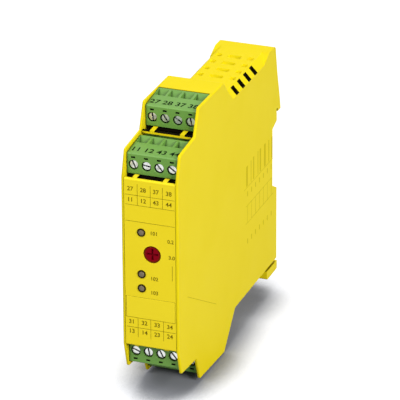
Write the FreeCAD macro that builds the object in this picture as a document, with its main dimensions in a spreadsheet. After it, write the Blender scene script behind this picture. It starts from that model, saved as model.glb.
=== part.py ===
"""Safety relay for a 35 mm top-hat rail, 22.5 mm wide, as a parametric FreeCAD document.

Frame: origin in the rail's centre on the plane where the housing seats, +X to the right seen
from the front, +Y back towards the rail, +Z up. The front panel and its terminal blocks are
laid out about a middle plane that lies mid_drop below the rail's centre.
"""
import FreeCAD, Part
import math
import os
import re
import Sketcher
from FreeCAD import Placement, Rotation, Vector

SIZES = [
    # housing outline, as depths in front of the rail plane and half heights about the middle
    ("housing_width", 22.5, "one module width"),
    ("side_wall", 1.0, "thickness of both side walls"),
    ("band_wall", 1.6, "thickness of roof, floor and rear walls"),
    ("front_depth", 110.0, "rail plane to front panel"),
    ("mid_drop", 3.1, "middle plane of the front below the rail's centre"),
    ("front_half", 34.3, "half height of the straight front edge"),
    ("tip_setback", 3.0, "tip of the side wall beside a front plug, behind the panel"),
    ("tip_rise", 6.5, "that tip beyond the screw axis of the front plugs"),
    ("notch_setback", 18.7, "inner corner of the step, behind the panel"),
    ("notch_drop", 3.55, "that corner inside the screw axis of the rear plugs"),
    ("peak_setback", 22.7, "tip of the side wall beside a rear plug, behind the panel"),
    ("peak_rise", 6.55, "that tip beyond the screw axis of the rear plugs"),
    ("ridge_setback", 49.5, "ridge behind the rear plugs, behind the panel"),
    ("ridge_rise", 6.15, "upper ridge beyond the screw axis of the rear plugs"),
    ("ridge_low_rise", 8.05, "lower ridge beyond the screw axis of the rear plugs"),
    ("roof_setback", 56.7, "front end of the vented roof, behind the panel"),
    ("valley_setback", 62.4, "foot of the slope behind the ridge, behind the panel"),
    ("roof_height", 44.9, "roof above the rail's centre"),
    ("roof_back", 1.6, "rear end of the roof"),
    ("floor_drop", 46.8, "floor below the rail's centre"),
    ("back_kink_height", 33.3, "upper kink of the rear edge"),
    ("back_kink", 0.5, "rear edge behind the rail plane at that kink"),
    ("band_setback", 37.5, "front edge of roof and floor over the rear headers, behind the panel"),
    ("band_inside", 1.3, "wall under the upper ridge"),
    ("band_inside_low", 2.4, "wall over the lower ridge"),
    # rail interface
    ("rail_half", 17.5, "half height of the rail"),
    ("rail_play", 0.2, "play above and below the rail's edges"),
    ("flange_slot", 1.3, "slot that takes the rail's flange"),
    ("flange_relief", 0.2, "relief in the slot's corner for the rail's rounded edge"),
    ("hook_lip", 1.3, "overlap of the hook behind the flange"),
    ("hook_reach", 4.5, "rear end of the hook behind the rail plane"),
    ("hook_top", 21.9, "top of the hook's thick part"),
    ("hook_neck", 3.4, "rear edge at the top of the hook"),
    ("pocket_depth", 5.0, "clearance pocket for a rail bus connector"),
    ("pocket_top", 10.9, "upper end of the pocket"),
    ("pocket_drop", 13.3, "lower end of the pocket below the rail's centre"),
    ("seat_height", 12.7, "lower end of the upper seat face"),
    ("seat_drop", 16.1, "upper end of the lower seat face"),
    ("outer_edge", 0.6, "rounding along the outer side faces"),
    ("tip_round", 0.9, "rounding of the tips"),
    ("ridge_round", 1.6, "rounding of the ridges"),
    ("roof_round", 2.0, "rounding at the roof's rear end"),
    # roof bevels and vents
    ("bevel_width", 2.8, "roof bevel across the width"),
    ("bevel_height", 3.1, "roof bevel down the side"),
    ("bevel_end", 17.0, "depth where the bevel starts to run out"),
    ("bevel_runout", 8.5, "depth where the bevel has run out"),
    ("haunch_width", 3.3, "fill inside the roof's corner, across"),
    ("haunch_height", 3.5, "fill inside the roof's corner, down"),
    ("vent_inset", 7.0, "front edge of the first vent row, behind the roof's front end"),
    ("vent_pitch", 6.9, "distance between vent rows"),
    ("vent_side_length", 3.0, "vents in the bevels, front to back"),
    ("vent_edge", 0.3, "vents in the bevels below the bevels' upper edge"),
    ("vent_side_start", 5.4, "inner end of the outer vents on top"),
    ("vent_mid_length", 2.6, "middle vents, front to back"),
    ("vent_mid_half", 2.6, "half width of the middle vents"),
    ("vent_last_width", 2.3, "outer vents on top, across"),
    ("vent_deep", 0.4, "vents below the fill inside the roof's corner"),
    # terminal plugs
    ("pole_pitch", 5.08, "distance between poles"),
    ("pole_count", 4, "poles of a plug"),
    ("row_front_half", 38.3, "screw axis of the front rows from the middle plane"),
    ("row_rear_half", 49.55, "screw axis of the rear rows from the middle plane"),
    ("face_inset", 0.4, "plug face behind the tips of the side walls"),
    ("plug_side_play", 0.1, "play between a plug and the side walls"),
    ("plug_length", 14.0, "plug body, front to back"),
    ("plug_below", 3.4, "plug below the screw axis"),
    ("plug_above", 4.85, "plug above the screw axis at the face"),
    ("plug_rise", 1.3, "rise of the plug's top to the back"),
    ("plug_lead", 0.45, "bevel along the face's edge"),
    ("tongue_length", 7.0, "plug's tongue in the header"),
    ("tongue_below", 2.5, "tongue below the screw axis"),
    ("tongue_above", 3.4, "tongue above the screw axis"),
    ("tongue_inset", 0.4, "tongue in from the plug's ends"),
    ("plug_travel", 12.0, "way out of a plug"),
    ("chamber_half", 2.05, "half width of a clamp chamber"),
    ("chamber_front", 5.4, "front wall of the chamber behind the face"),
    ("chamber_back", 13.75, "rear wall of the chamber behind the face"),
    ("chamber_below", 2.8, "chamber below the screw axis"),
    ("chamber_above", 3.0, "chamber above the screw axis"),
    ("funnel_front", 8.3, "wire entry's front edge behind the face"),
    ("funnel_back", 13.6, "wire entry's rear edge behind the face"),
    ("funnel_low_front", 8.6, "wire entry's front edge at the chamber"),
    ("funnel_low_back", 11.6, "wire entry's rear edge at the chamber"),
    ("funnel_half", 2.05, "half width of the wire entry"),
    ("probe_half", 0.8, "half width of the test slot"),
    ("probe_low", 2.8, "test slot above the screw axis"),
    ("probe_height", 0.7, "height of the test slot"),
    ("probe_depth", 2.0, "depth of the test slot"),
    # clamping screws and cages
    ("screw_sink", 0.9, "screw head behind the plug's face"),
    ("head_length", 1.7, "screw head"),
    ("head_round", 1.75, "radius of the screw head"),
    ("head_play", 0.25, "play round the head"),
    ("driver_slot", 0.7, "width of the driver slot"),
    ("driver_depth", 0.7, "depth of the driver slot"),
    ("shank_round", 1.25, "radius of the screw's shank"),
    ("thread_play", 0.05, "running clearance of shank and cage"),
    ("shank_end", 8.8, "end of the shank behind the face"),
    ("cage_half", 1.9, "half width of a clamp cage"),
    ("cage_length", 4.2, "clamp cage, front to back"),
    ("cage_back_gap", 1.65, "open cage in front of the chamber's rear wall"),
    ("cage_below", 1.95, "cage below the screw axis"),
    ("cage_above", 2.6, "cage above the screw axis"),
    ("cage_wall", 0.6, "cage side and rear walls"),
    ("cage_nut", 0.9, "cage wall that holds the thread"),
    ("cage_travel", 1.7, "way of the cage when the screw is turned"),
    ("strip_gap", 0.1, "contact strip behind the cage's threaded wall"),
    ("strip_thick", 0.6, "contact strip"),
    ("strip_half", 1.1, "half width of the contact strip"),
    ("socket_half", 1.1, "half width of the contact's socket"),
    ("socket_start", 13.6, "front end of the socket behind the face"),
    ("socket_length", 6.6, "socket of the contact"),
    ("socket_play", 0.12, "play round strip, socket and pin"),
    # headers on the board
    ("header_gap", 0.3, "gap between plug body and header"),
    ("header_wall", 1.0, "walls of the header"),
    ("header_back", 2.0, "rear wall of the header"),
    ("tongue_play", 0.15, "play round the tongue"),
    ("pin_side", 1.0, "square pins"),
    ("pin_start", 15.3, "pin tips behind the plug's face"),
    ("pin_leg", 1.6, "first pin legs behind the header"),
    ("pin_pitch", 1.9, "distance between pin legs, front to back"),
    ("pin_jog", 2.0, "distance between pin legs, up and down"),
    ("pin_play", 0.02, "play of the pins in the header"),
    ("pin_through", 0.2, "pins beyond the board"),
    # shelves between the plug rows
    ("shelf_drop", 4.9, "inner face of a shelf inside the screw axis of the rear plugs"),
    ("shelf_thick", 0.8, "shelf between two plug rows"),
    ("shelf_setback", 18.9, "front edge of a shelf, behind the panel"),
    ("shelf_reach", 15.6, "shelf, front to back"),
    ("shelf_lip", 2.0, "lip along a shelf's front edge"),
    ("shelf_window", 2.6, "windows behind the lip, front to back"),
    # front plate and what it carries
    ("plate_play", 0.15, "play between front plate and side walls"),
    ("plate_half", 34.3, "half height of the front plate"),
    ("plate_thick", 1.2, "front plate"),
    ("plate_edge", 0.6, "rounding along the plate's upper and lower edge"),
    ("apron_setback", 3.6, "front edge of the aprons, behind the panel"),
    ("apron_reach", 15.1, "aprons, front to back"),
    ("apron_thick", 1.4, "aprons"),
    ("rib_offset", 6.0, "ribs on the aprons from the middle"),
    ("rib_width", 1.8, "ribs on the aprons"),
    ("rib_inset", 0.7, "ribs behind the panel's face"),
    ("lamp_offset", 3.4, "lamps left of the middle"),
    ("lamp_round", 1.6, "radius of a lamp lens"),
    ("lamp_play", 0.05, "play round a lens"),
    ("lamp_one", 13.0, "first lamp above the middle plane"),
    ("lamp_two", -4.1, "second lamp"),
    ("lamp_three", -9.9, "third lamp"),
    ("lamp_pitch_play", 2.3, "half height of an indicator's holder"),
    ("lamp_proud", 0.25, "crown of a lens in front of the panel"),
    ("lamp_collar", 0.7, "collar of a light pipe beyond its lens"),
    ("pipe_length", 11.5, "light pipe behind the panel"),
    ("dial_offset", 0.8, "dial right of the middle"),
    ("dial_height", 4.5, "dial above the middle plane"),
    ("dial_round", 3.3, "radius of the dial"),
    ("dial_play", 0.2, "play round the dial"),
    ("dial_sink", 0.3, "dial behind the panel"),
    ("dial_thick", 2.2, "dial"),
    ("dial_slot_depth", 0.8, "cross slot of the dial"),
    ("dial_slot_width", 0.9, "cross slot of the dial"),
    ("dial_slot_half", 2.3, "cross slot of the dial"),
    ("stem_round", 1.5, "radius of the dial's stem"),
    ("stem_length", 10.0, "dial's stem"),
    ("stem_play", 0.05, "running clearance of the stem"),
    ("marker_half_width", 9.7, "half width of the marker plate"),
    ("marker_height", 8.6, "marker plate"),
    ("marker_top", -13.9, "upper edge of the marker plate from the middle plane"),
    ("marker_thick", 0.7, "marker plate"),
    ("marker_play", 0.1, "play round the marker plate"),
    # control board and parts on it
    ("board_gap", 0.5, "board off the side cover"),
    ("board_thick", 1.6, "control board"),
    ("board_setback", 14.0, "front edge of the board, behind the panel"),
    ("board_front_half", 31.5, "half height of the board behind the panel"),
    ("hole_play", 0.1, "play round the pins in the board"),
    ("board_rear", 8.4, "rear edge of the board"),
    ("part_lift", 0.1, "parts off the board"),
    ("holder_length", 6.0, "indicator holders, front to back"),
    ("pot_length", 8.0, "potentiometer, front to back"),
    ("pot_half", 4.5, "half height of the potentiometer"),
    ("pot_reach", 4.2, "potentiometer right of the dial's axis"),
    ("bush_round", 2.6, "radius of the potentiometer's bush"),
    ("bush_length", 3.0, "potentiometer's bush"),
    ("relay_count", 3, "force-guided relays"),
    ("relay_length", 28.5, "relay, front to back"),
    ("relay_height", 12.6, "relay, from top to bottom"),
    ("relay_rise", 15.6, "relay off the board"),
    ("relay_pitch", 14.2, "distance between relays"),
    ("relay_back", 19.5, "rear face of the relays in front of the rail plane"),
    ("relay_top", 36.0, "upper face of the top relay above the rail's centre"),
    ("can_round", 5.0, "radius of the storage capacitors"),
    ("can_length", 16.0, "length of the storage capacitors"),
    ("can_setback", 42.0, "capacitors behind the panel"),
    ("can_height", 18.0, "upper capacitor from the middle plane"),
    ("can_pitch", 12.5, "distance between capacitors"),
    ("chip_side", 10.0, "controller chips"),
    ("chip_thick", 1.4, "controller chips"),
    ("chip_setback", 26.0, "centre of the chips behind the panel"),
    ("chip_pitch", 14.0, "distance between chips"),
    # bosses
    ("boss_round", 3.2, "radius of the bosses"),
    ("boss_stub", 2.2, "radius of the bosses' stubs in the board"),
    ("stub_play", 0.1, "play of stubs and pegs"),
    ("peg_round", 1.1, "radius of the cover's pegs"),
    ("peg_length", 5.0, "cover's pegs"),
    ("boss_setback", 24.0, "front bosses behind the panel"),
    ("boss_front_half", 24.0, "front bosses from the middle plane"),
    ("boss_rear_depth", 14.0, "rear bosses in front of the rail plane"),
    ("boss_rear_height", 33.0, "upper rear boss"),
    ("boss_rear_drop", 37.5, "lower rear boss"),
    # foot latch
    ("latch_channel", 4.9, "channel of the latch in front of the rail plane"),
    ("latch_play", 0.25, "play of the latch in its channel"),
    ("latch_lip", 0.8, "lips that hold the latch in its channel"),
    ("lip_width", 0.85, "lips that hold the latch in its channel"),
    ("lip_top", 28.0, "upper end of the lips below the rail's centre"),
    ("nose_half", 9.0, "half width of the latch's nose"),
    ("nose_reach", 2.9, "nose behind the rail plane"),
    ("nose_drop", 25.0, "lower end of the nose below the rail's centre"),
    ("catch_lift", 1.2, "overlap of the nose behind the rail"),
    ("latch_travel", 4.5, "way down of the latch"),
    ("foot_gap", 0.3, "gap between floor and foot"),
    ("foot_front", 10.7, "front face of the foot"),
    ("foot_back", 1.2, "rear face of the foot behind the rail plane"),
    ("foot_neck", 1.4, "set-back neck of the foot"),
    ("foot_height", 3.6, "sole of the foot"),
    ("foot_play", 0.2, "foot in from the outer side faces"),
    ("pry_half", 3.0, "half width of the driver slot in the foot"),
    ("pry_depth", 4.0, "depth of the driver slot in the foot"),
    ("pry_height", 1.6, "height of the driver slot in the foot"),
    ("window_half", 3.0, "half width of the spring's window"),
    ("window_top", 26.0, "upper end of the window below the rail's centre"),
    ("window_end", 39.0, "lower end of the window"),
    ("stud_top", 36.6, "top of the stud that carries the spring"),
    ("stud_half", 2.4, "half width of that stud"),
    ("spring_coil", 1.45, "mean radius of the latch spring"),
    ("spring_wire", 0.25, "radius of its wire"),
    ("spring_turns", 5, "turns of the spring"),
    ("seat_gap", 0.05, "gap at each end of the spring"),
]

# places that follow from the sizes: depths in front of the rail plane, half heights from the middle
PLACES = {
    "tip_depth": "front_depth - tip_setback",
    "notch_depth": "front_depth - notch_setback",
    "peak_depth": "front_depth - peak_setback",
    "ridge_depth": "front_depth - ridge_setback",
    "roof_front": "front_depth - roof_setback",
    "valley_depth": "front_depth - valley_setback",
    "band_front": "front_depth - band_setback",
    "vent_first": "roof_front - vent_inset",
    "shelf_front": "front_depth - shelf_setback",
    "shelf_back": "shelf_front - shelf_reach",
    "apron_front": "front_depth - apron_setback",
    "apron_back": "apron_front - apron_reach",
    "board_front": "front_depth - board_setback",
    "can_depth": "front_depth - can_setback",
    "chip_depth": "front_depth - chip_setback",
    "boss_front_depth": "front_depth - boss_setback",
    "tip_half": "row_front_half + tip_rise",
    "peak_half": "row_rear_half + peak_rise",
    "ridge_half": "row_rear_half + ridge_rise",
    "ridge_low_half": "row_rear_half + ridge_low_rise",
    "notch_half": "row_rear_half - notch_drop",
    "band_inner_half": "ridge_half - band_inside",
    "band_inner_low_half": "ridge_low_half - band_inside_low",
    "shelf_low": "row_rear_half - shelf_drop",
}

NAMES = {name for name, value, note in SIZES}

doc = FreeCAD.newDocument("safety_relay")
sheet = doc.addObject("Spreadsheet::Sheet", "sizes")
for row, (name, value, note) in enumerate(SIZES, 1):
    sheet.set("A%d" % row, name)
    sheet.set("B%d" % row, str(value))
    sheet.set("C%d" % row, note)
    sheet.setAlias("B%d" % row, name)
doc.recompute()

WORD = re.compile(r"[a-z][a-z_]*")


def spelled(text):
    """The expression with each place written out in sizes."""
    while PLACES.keys() & set(WORD.findall(text)):
        text = WORD.sub(lambda word: "(%s)" % PLACES[word.group(0)] if word.group(0) in PLACES else word.group(0), text)
    return text


def bound(text):
    """The expression with each size read from the sheet."""
    return WORD.sub(lambda word: "sizes." + word.group(0) if word.group(0) in NAMES else word.group(0), spelled(text))


def size(text):
    """The present value of an expression over the sheet's sizes, in millimetres."""
    return float(sheet.evalExpression(spelled(text)))


# ---- sketches and features ---------------------------------------------------------------

PLANES = {"X": "YZ_Plane", "Y": "XZ_Plane", "Z": "XY_Plane"}


def new_body(name):
    body = doc.addObject("PartDesign::Body", name)
    body.Label = name
    return body


def sketch_on(body, axis, start):
    """A sketch square to an axis at the place start on it."""
    sketch = body.newObject("Sketcher::SketchObject", body.Name + "_sketch")
    sketch.AttachmentSupport = [(next(f for f in body.Origin.OriginFeatures if f.Role == PLANES[axis]), "")]
    sketch.MapMode = "FlatFace"
    sketch.setExpression("AttachmentOffset.Base.z", bound(start))
    return sketch


def hold(sketch, vertex, end, point):
    """Ties a point of the sketch to its two coordinates."""
    for kind, text in zip(("DistanceX", "DistanceY"), point):
        index = sketch.addConstraint(Sketcher.Constraint(kind, -1, 1, vertex, end, size(text)))
        sketch.setExpression("Constraints[%d]" % index, bound(text))


def polygon(sketch, points):
    """A closed outline whose corners are pairs of expressions."""
    first = sketch.GeometryCount
    places = [Vector(size(u), size(v), 0) for u, v in points]
    for a, b in zip(places, places[1:] + places[:1]):
        sketch.addGeometry(Part.LineSegment(a, b), False)
    for index in range(len(points)):
        following = first + (index + 1) % len(points)
        sketch.addConstraint(Sketcher.Constraint("Coincident", first + index, 2, following, 1))
    for index, point in enumerate(points):
        hold(sketch, first + index, 1, point)


def rectangle(sketch, low, high):
    polygon(sketch, [low, (high[0], low[1]), high, (low[0], high[1])])


def circle(sketch, centre, radius):
    index = sketch.GeometryCount
    sketch.addGeometry(Part.Circle(Vector(size(centre[0]), size(centre[1]), 0), Vector(0, 0, 1), size(radius)), False)
    rule = sketch.addConstraint(Sketcher.Constraint("Radius", index, size(radius)))
    sketch.setExpression("Constraints[%d]" % rule, bound(radius))
    hold(sketch, index, 3, centre)


def draw(body, axis, span, loops):
    """A sketch with loops, and the length of the feature that runs over span along the axis.

    A loop is ("outline", corners), ("box", low, high) or ("round", centre, radius).
    """
    low, high = span
    sketch = sketch_on(body, axis, "-(%s)" % high if axis == "Y" else low)
    makers = {"outline": polygon, "box": rectangle, "round": circle}
    for loop in loops:
        makers[loop[0]](sketch, *loop[1:])
    return sketch, "(%s) - (%s)" % (high, low)


def add(body, axis, span, *loops):
    """Pads loops over span, given as two places along the axis."""
    sketch, length = draw(body, axis, span, loops)
    pad = body.newObject("PartDesign::Pad", body.Name + "_pad")
    pad.Profile = sketch
    pad.setExpression("Length", bound(length))
    doc.recompute()
    return pad


def cut(body, axis, span, *loops):
    """Cuts loops over span; the cut has to take something away."""
    before = body.Shape.Volume
    sketch, length = draw(body, axis, span, loops)
    pocket = body.newObject("PartDesign::Pocket", body.Name + "_cut")
    pocket.Profile = sketch
    pocket.Reversed = True
    pocket.setExpression("Length", bound(length))
    doc.recompute()
    if body.Shape.Volume > before - 1e-6:
        raise RuntimeError("cut takes nothing: " + pocket.Name)
    return pocket


def soften(body, radius, wanted, kind="Fillet"):
    """Rounds or bevels the edges that wanted picks by their middle and their direction."""
    base, names = body.Tip, []
    for index, edge in enumerate(base.Shape.Edges, 1):
        if not isinstance(edge.Curve, Part.Line):
            continue
        ends = [vertex.Point for vertex in edge.Vertexes]
        if wanted((ends[0] + ends[1]) * 0.5, (ends[1] - ends[0]).normalize()):
            names.append("Edge%d" % index)
    if not names:
        raise RuntimeError("no edge to soften on " + body.Name)
    feature = body.newObject("PartDesign::" + kind, body.Name + "_edge")
    feature.Base = (base, names)
    feature.setExpression("Radius" if kind == "Fillet" else "Size", bound(radius))
    body.Tip = feature
    doc.recompute()
    return feature


def near(value, text, reach=0.02):
    return abs(value - size(text)) < reach


def place(piece, x="0", y="0", z="0", turned=False):
    """Puts a piece in its place; turned stands it on its head about the front-to-back axis."""
    piece.Placement = Placement(Vector(), Rotation(Vector(0, 1, 0), 180 if turned else 0))
    for axis, text in zip("xyz", (x, y, z)):
        piece.setExpression("Placement.Base." + axis, bound(text))
    return piece


def mirrored(points):
    """Outline points above the middle plane, and the same below it in reverse order."""
    above = [(y, "%s - mid_drop" % z) for y, z in points]
    below = [(y, "-(%s) - mid_drop" % z) for y, z in reversed(points)]
    return above, below


SUBPARTS = []


def keep(piece, label=None):
    piece.Label = label or piece.Label
    SUBPARTS.append(piece)
    return piece


# ---- housing -----------------------------------------------------------------------------

INNER_HALF = "(housing_width / 2 - side_wall)"
OUTER_HALF = "housing_width / 2"
OUTSIDE = "(housing_width / 2 + 1)"
ROOF_INSIDE = "(roof_height - band_wall)"
BACK_INSIDE = "-(pocket_depth + band_wall)"
CHANNEL_FRONT = "-latch_channel"
LATCH_TOP = "-(rail_half + rail_play)"

STEPS = [
    ("-front_depth", "front_half"),
    ("-tip_depth", "tip_half"),
    ("-notch_depth", "notch_half"),
    ("-peak_depth", "peak_half"),
]


def outline():
    """Side view of the housing, from the floor round the front to the rail side."""
    above, below = mirrored(STEPS)
    return (
        [("0", "-floor_drop"), ("-valley_depth", "-floor_drop"), ("-ridge_depth", "-ridge_low_half - mid_drop")]
        + below
        + above
        + [
            ("-ridge_depth", "ridge_half - mid_drop"),
            ("-roof_front", "roof_height"),
            ("-roof_back", "roof_height"),
            ("back_kink", "back_kink_height"),
            ("hook_neck", "hook_top"),
            ("hook_reach", "rail_half - hook_lip"),
            ("flange_slot", "rail_half - hook_lip"),
            ("flange_slot", "rail_half + rail_play"),
            ("-flange_relief", "rail_half + rail_play"),
            ("-flange_relief", "rail_half - hook_lip - flange_relief"),
            ("0", "rail_half - hook_lip - flange_relief"),
            ("0", "seat_height"),
            ("-pocket_depth", "pocket_top"),
            ("-pocket_depth", "-pocket_drop"),
            ("0", "-seat_drop"),
        ]
    )


def inside():
    """Side view of the room between the side walls, open in front of the plugs."""
    above, below = mirrored([("-(front_depth + 1)", "(peak_half + 2)"), ("-band_front", "(peak_half + 2)")])
    deep = "-(ridge_depth + band_wall / 3)"
    above += [("-band_front", "band_inner_half - mid_drop"), (deep, "band_inner_half - mid_drop")]
    below = [(deep, "-band_inner_low_half - mid_drop"), ("-band_front", "-band_inner_low_half - mid_drop")] + below
    return (
        [(BACK_INSIDE, "-(floor_drop - band_wall)"), ("-(valley_depth + band_wall / 2)", "-(floor_drop - band_wall)")]
        + below
        + above
        + [
            ("-(roof_front + band_wall / 2)", ROOF_INSIDE),
            ("-(roof_back + band_wall)", ROOF_INSIDE),
            ("back_kink - 1.3 * band_wall", "back_kink_height"),
            ("back_kink - 1.3 * band_wall", "rail_half + 2 * band_wall"),
            (BACK_INSIDE, "seat_height + band_wall"),
        ]
    )


def bevel_tool(name, side):
    """What the bevel along one edge of the roof takes away, with its sloping ends."""
    tool = new_body(name)
    edge = "(%s - bevel_width)" % OUTER_HALF
    sign = "" if side > 0 else "-"
    corner = [
        (sign + "(%s - 1)" % edge, "roof_height + bevel_height / bevel_width"),
        (sign + "(%s + 1)" % OUTER_HALF, "roof_height + bevel_height / bevel_width"),
        (sign + "(%s + 1)" % OUTER_HALF, "roof_height - bevel_height - bevel_height / bevel_width"),
    ]
    add(tool, "Y", ("-(roof_front + 4)", "0"), ("outline", corner))
    drop = "(roof_height - 1.6 * bevel_height)"
    slope = "((ridge_depth - roof_front) / (ridge_half - mid_drop - roof_height))"
    front = [
        ("-(roof_front + 6)", "roof_height + 4"),
        ("-(roof_front + 4 * %s)" % slope, "roof_height + 4"),
        ("-(roof_front - 1.6 * bevel_height * %s)" % slope, drop),
        ("-(roof_front + 6)", drop),
    ]
    rear = [
        ("-bevel_end", drop),
        ("-(0.7 * bevel_end + 0.3 * bevel_runout)", "roof_height - 0.8 * bevel_height"),
        ("-bevel_runout", "roof_height"),
        ("-bevel_runout", "roof_height + 4"),
        ("1", "roof_height + 4"),
        ("1", drop),
    ]
    cut(tool, "X", ("-housing_width", "housing_width"), ("outline", front))
    cut(tool, "X", ("-housing_width", "housing_width"), ("outline", rear))
    return tool


def vents(body, start, end, depth):
    """Rows of slots in both bevels of the roof, from start to end off the middle."""
    slots = []
    for row in range(VENT_ROWS):
        front = "-(vent_first - %d * vent_pitch)" % row
        back = front + " + vent_side_length"
        slots.append(("box", (start, front), (end, back)))
        slots.append(("box", ("-" + end, front), ("-" + start, back)))
    cut(body, "Z", ("roof_height - " + depth, "roof_height + 1"), *slots)


def roof_slots(body):
    """Rows of three slots on top of the roof, one pitch behind those in the bevels."""
    slots = []
    last = "(vent_side_start + vent_last_width)"
    for row in range(1, VENT_ROWS + 1):
        front = "-(vent_first - %d * vent_pitch)" % row
        back = front + " + vent_mid_length"
        slots.append(("box", ("-vent_mid_half", front), ("vent_mid_half", back)))
        slots.append(("box", ("vent_side_start", front), (last, back)))
        slots.append(("box", ("-" + last, front), ("-vent_side_start", back)))
    cut(body, "Z", ("roof_height - 1.5 * band_wall", "roof_height + 1"), *slots)


def bevelled(body, label, *tools):
    """Takes the bevel tools off a body, as the sub-part label."""
    piece = body
    for tool in tools:
        step = doc.addObject("Part::Cut", label + "_bevel")
        step.Base = piece
        step.Tool = tool
        piece = step
    doc.recompute()
    return keep(piece, label)


def boss_places():
    return [
        ("-boss_front_depth", "boss_front_half - mid_drop"),
        ("-boss_front_depth", "-boss_front_half - mid_drop"),
        ("-boss_rear_depth", "boss_rear_height"),
        ("-boss_rear_depth", "-boss_rear_drop"),
    ]


def rounds(places, radius):
    return [("round", place_, radius) for place_ in places]


def walls(name, low, high):
    """A plate or block with the housing's outline and its rounded corners."""
    body = new_body(name)
    add(body, "X", (low, high), ("outline", outline()))

    def at(*corners):
        spots = [(size("-" + deep), size(half)) for deep, half in corners]
        return lambda mid, way: abs(way.x) > 0.99 and any(
            abs(mid.y - y) < 0.02 and abs(abs(mid.z + size("mid_drop")) - z) < 0.02 for y, z in spots)

    soften(body, "tip_round", at(("tip_depth", "tip_half"), ("peak_depth", "peak_half")))
    soften(body, "ridge_round", at(("ridge_depth", "ridge_half")))
    soften(body, "roof_round", lambda mid, way: abs(way.x) > 0.99
           and near(mid.y, "-roof_back") and near(mid.z, "roof_height"))
    return body


def latch_lip(body, side):
    """A lip on one side wall that keeps the latch in its channel."""
    a, b = ("%s - lip_width" % INNER_HALF, "%s + side_wall / 2" % INNER_HALF)
    span = (a, b) if side > 0 else ("-(%s)" % b, "-(%s)" % a)
    add(body, "X", span, ("box", ("-latch_lip", "-floor_drop"), ("0", "-lip_top")))


def housing_shell():
    """Right wall, roof, floor and rear wall in one moulding, open to the left and the front."""
    body = walls("housing_block", "-" + INNER_HALF, OUTER_HALF)
    soften(body, "outer_edge", lambda mid, way: near(mid.x, OUTER_HALF) and abs(way.x) < 0.01
           and mid.y < size("-valley_depth"))
    cut(body, "X", ("-(%s + 1)" % INNER_HALF, INNER_HALF), ("outline", inside()))
    corner = "(%s - haunch_width)" % INNER_HALF
    under = ROOF_INSIDE + " - haunch_height"
    top = ROOF_INSIDE + " + band_wall / 4"
    reach = "(%s + side_wall / 2)" % INNER_HALF
    length = ("-(roof_front + 0.5 * band_wall)", "-(roof_back + band_wall)")
    add(body, "Y", length, ("outline", [(corner, top), (reach, top), (reach, under), (INNER_HALF, under),
                                        (corner, ROOF_INSIDE)]))
    add(body, "Y", length, ("outline", [("-" + corner, top), ("-" + INNER_HALF, top),
                                        ("-" + INNER_HALF, under), ("-" + corner, ROOF_INSIDE)]))
    for sign in ("", "-"):
        low, high = ("(%sshelf_low)" % sign, "(%s(shelf_low + shelf_thick))" % sign)
        low, high = (low, high) if not sign else (high, low)
        span = (low + " - mid_drop", high + " - mid_drop")
        add(body, "Z", span, ("box", ("-" + INNER_HALF, "-shelf_front"), (reach, "-shelf_back")))
        rib = "(row_rear_half - plug_below - %s)" % "part_lift"
        edge = ("(%s%s)" % (sign, "(shelf_low + shelf_thick / 2)"), "(%s%s)" % (sign, rib))
        edge = edge if not sign else (edge[1], edge[0])
        loops = [("box", ("%s - rib_width / 2" % x, "-shelf_front"), ("%s + rib_width / 2" % x, "-shelf_back - header_back"))
                 for x in ("rib_offset", "-rib_offset")]
        add(body, "Z", (edge[0] + " - mid_drop", edge[1] + " - mid_drop"), *loops)
        front, back = "-(shelf_front - shelf_lip)", "-(shelf_front - shelf_lip - shelf_window)"
        far, close = "(rib_offset + rib_width / 2)", "(rib_offset - rib_width / 2)"
        cut(body, "Z", span, ("box", ("-" + close, front), (close, back)),
            ("box", (far, front), (INNER_HALF, back)), ("box", ("-" + OUTSIDE, front), ("-" + far, back)))
    cut(body, "X", ("-(%s + 1)" % INNER_HALF, INNER_HALF),
        ("box", (CHANNEL_FRONT, "-(floor_drop + 1)"), ("hook_reach", "-rail_half")))
    add(body, "Y", ("-(latch_channel + band_wall / 2)", "-(latch_lip + 2 * latch_play)"),
        ("box", ("-stud_half", "-(stud_top + 2)"), ("stud_half", "-stud_top")))
    latch_lip(body, 1)
    board_right = "-(%s - board_gap - board_thick - part_lift)" % INNER_HALF
    add(body, "X", (board_right, INNER_HALF + " + side_wall / 2"), *rounds(boss_places(), "boss_round"))
    add(body, "X", ("-(%s - socket_play)" % INNER_HALF, "0"), *rounds(boss_places(), "boss_stub"))
    cut(body, "X", ("-(%s + 1)" % INNER_HALF, "-(%s - peg_length - 1)" % INNER_HALF),
        *rounds(boss_places(), "peg_round + stub_play"))
    vents(body, "(%s - bevel_width + vent_edge)" % OUTER_HALF, INNER_HALF, "(band_wall + haunch_height + vent_deep)")
    vents(body, INNER_HALF, OUTSIDE, "bevel_height")
    roof_slots(body)
    return bevelled(body, "housing_shell", bevel_tool("right_bevel", 1), bevel_tool("shell_left_bevel", -1))


def side_cover():
    """Left wall with four pegs that press into the shell's bosses."""
    body = walls("cover_block", "-" + OUTER_HALF, "-" + INNER_HALF)
    soften(body, "outer_edge", lambda mid, way: near(mid.x, "-" + OUTER_HALF) and abs(way.x) < 0.01
           and mid.y < size("-valley_depth"))
    add(body, "X", ("-(%s + side_wall / 2)" % INNER_HALF, "-(%s - peg_length)" % INNER_HALF),
        *rounds(boss_places(), "peg_round"))
    latch_lip(body, -1)
    vents(body, INNER_HALF, OUTSIDE, "bevel_height")
    return bevelled(body, "side_cover", bevel_tool("cover_bevel", -1))


# ---- front plate -------------------------------------------------------------------------

PLATE_SIDE = "(%s - plate_play)" % INNER_HALF
PANEL_BACK = "-(front_depth - plate_thick)"
LAMPS = [("-lamp_offset", "%s - mid_drop" % name) for name in ("lamp_one", "lamp_two", "lamp_three")]
DIAL = ("dial_offset", "dial_height - mid_drop")


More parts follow.
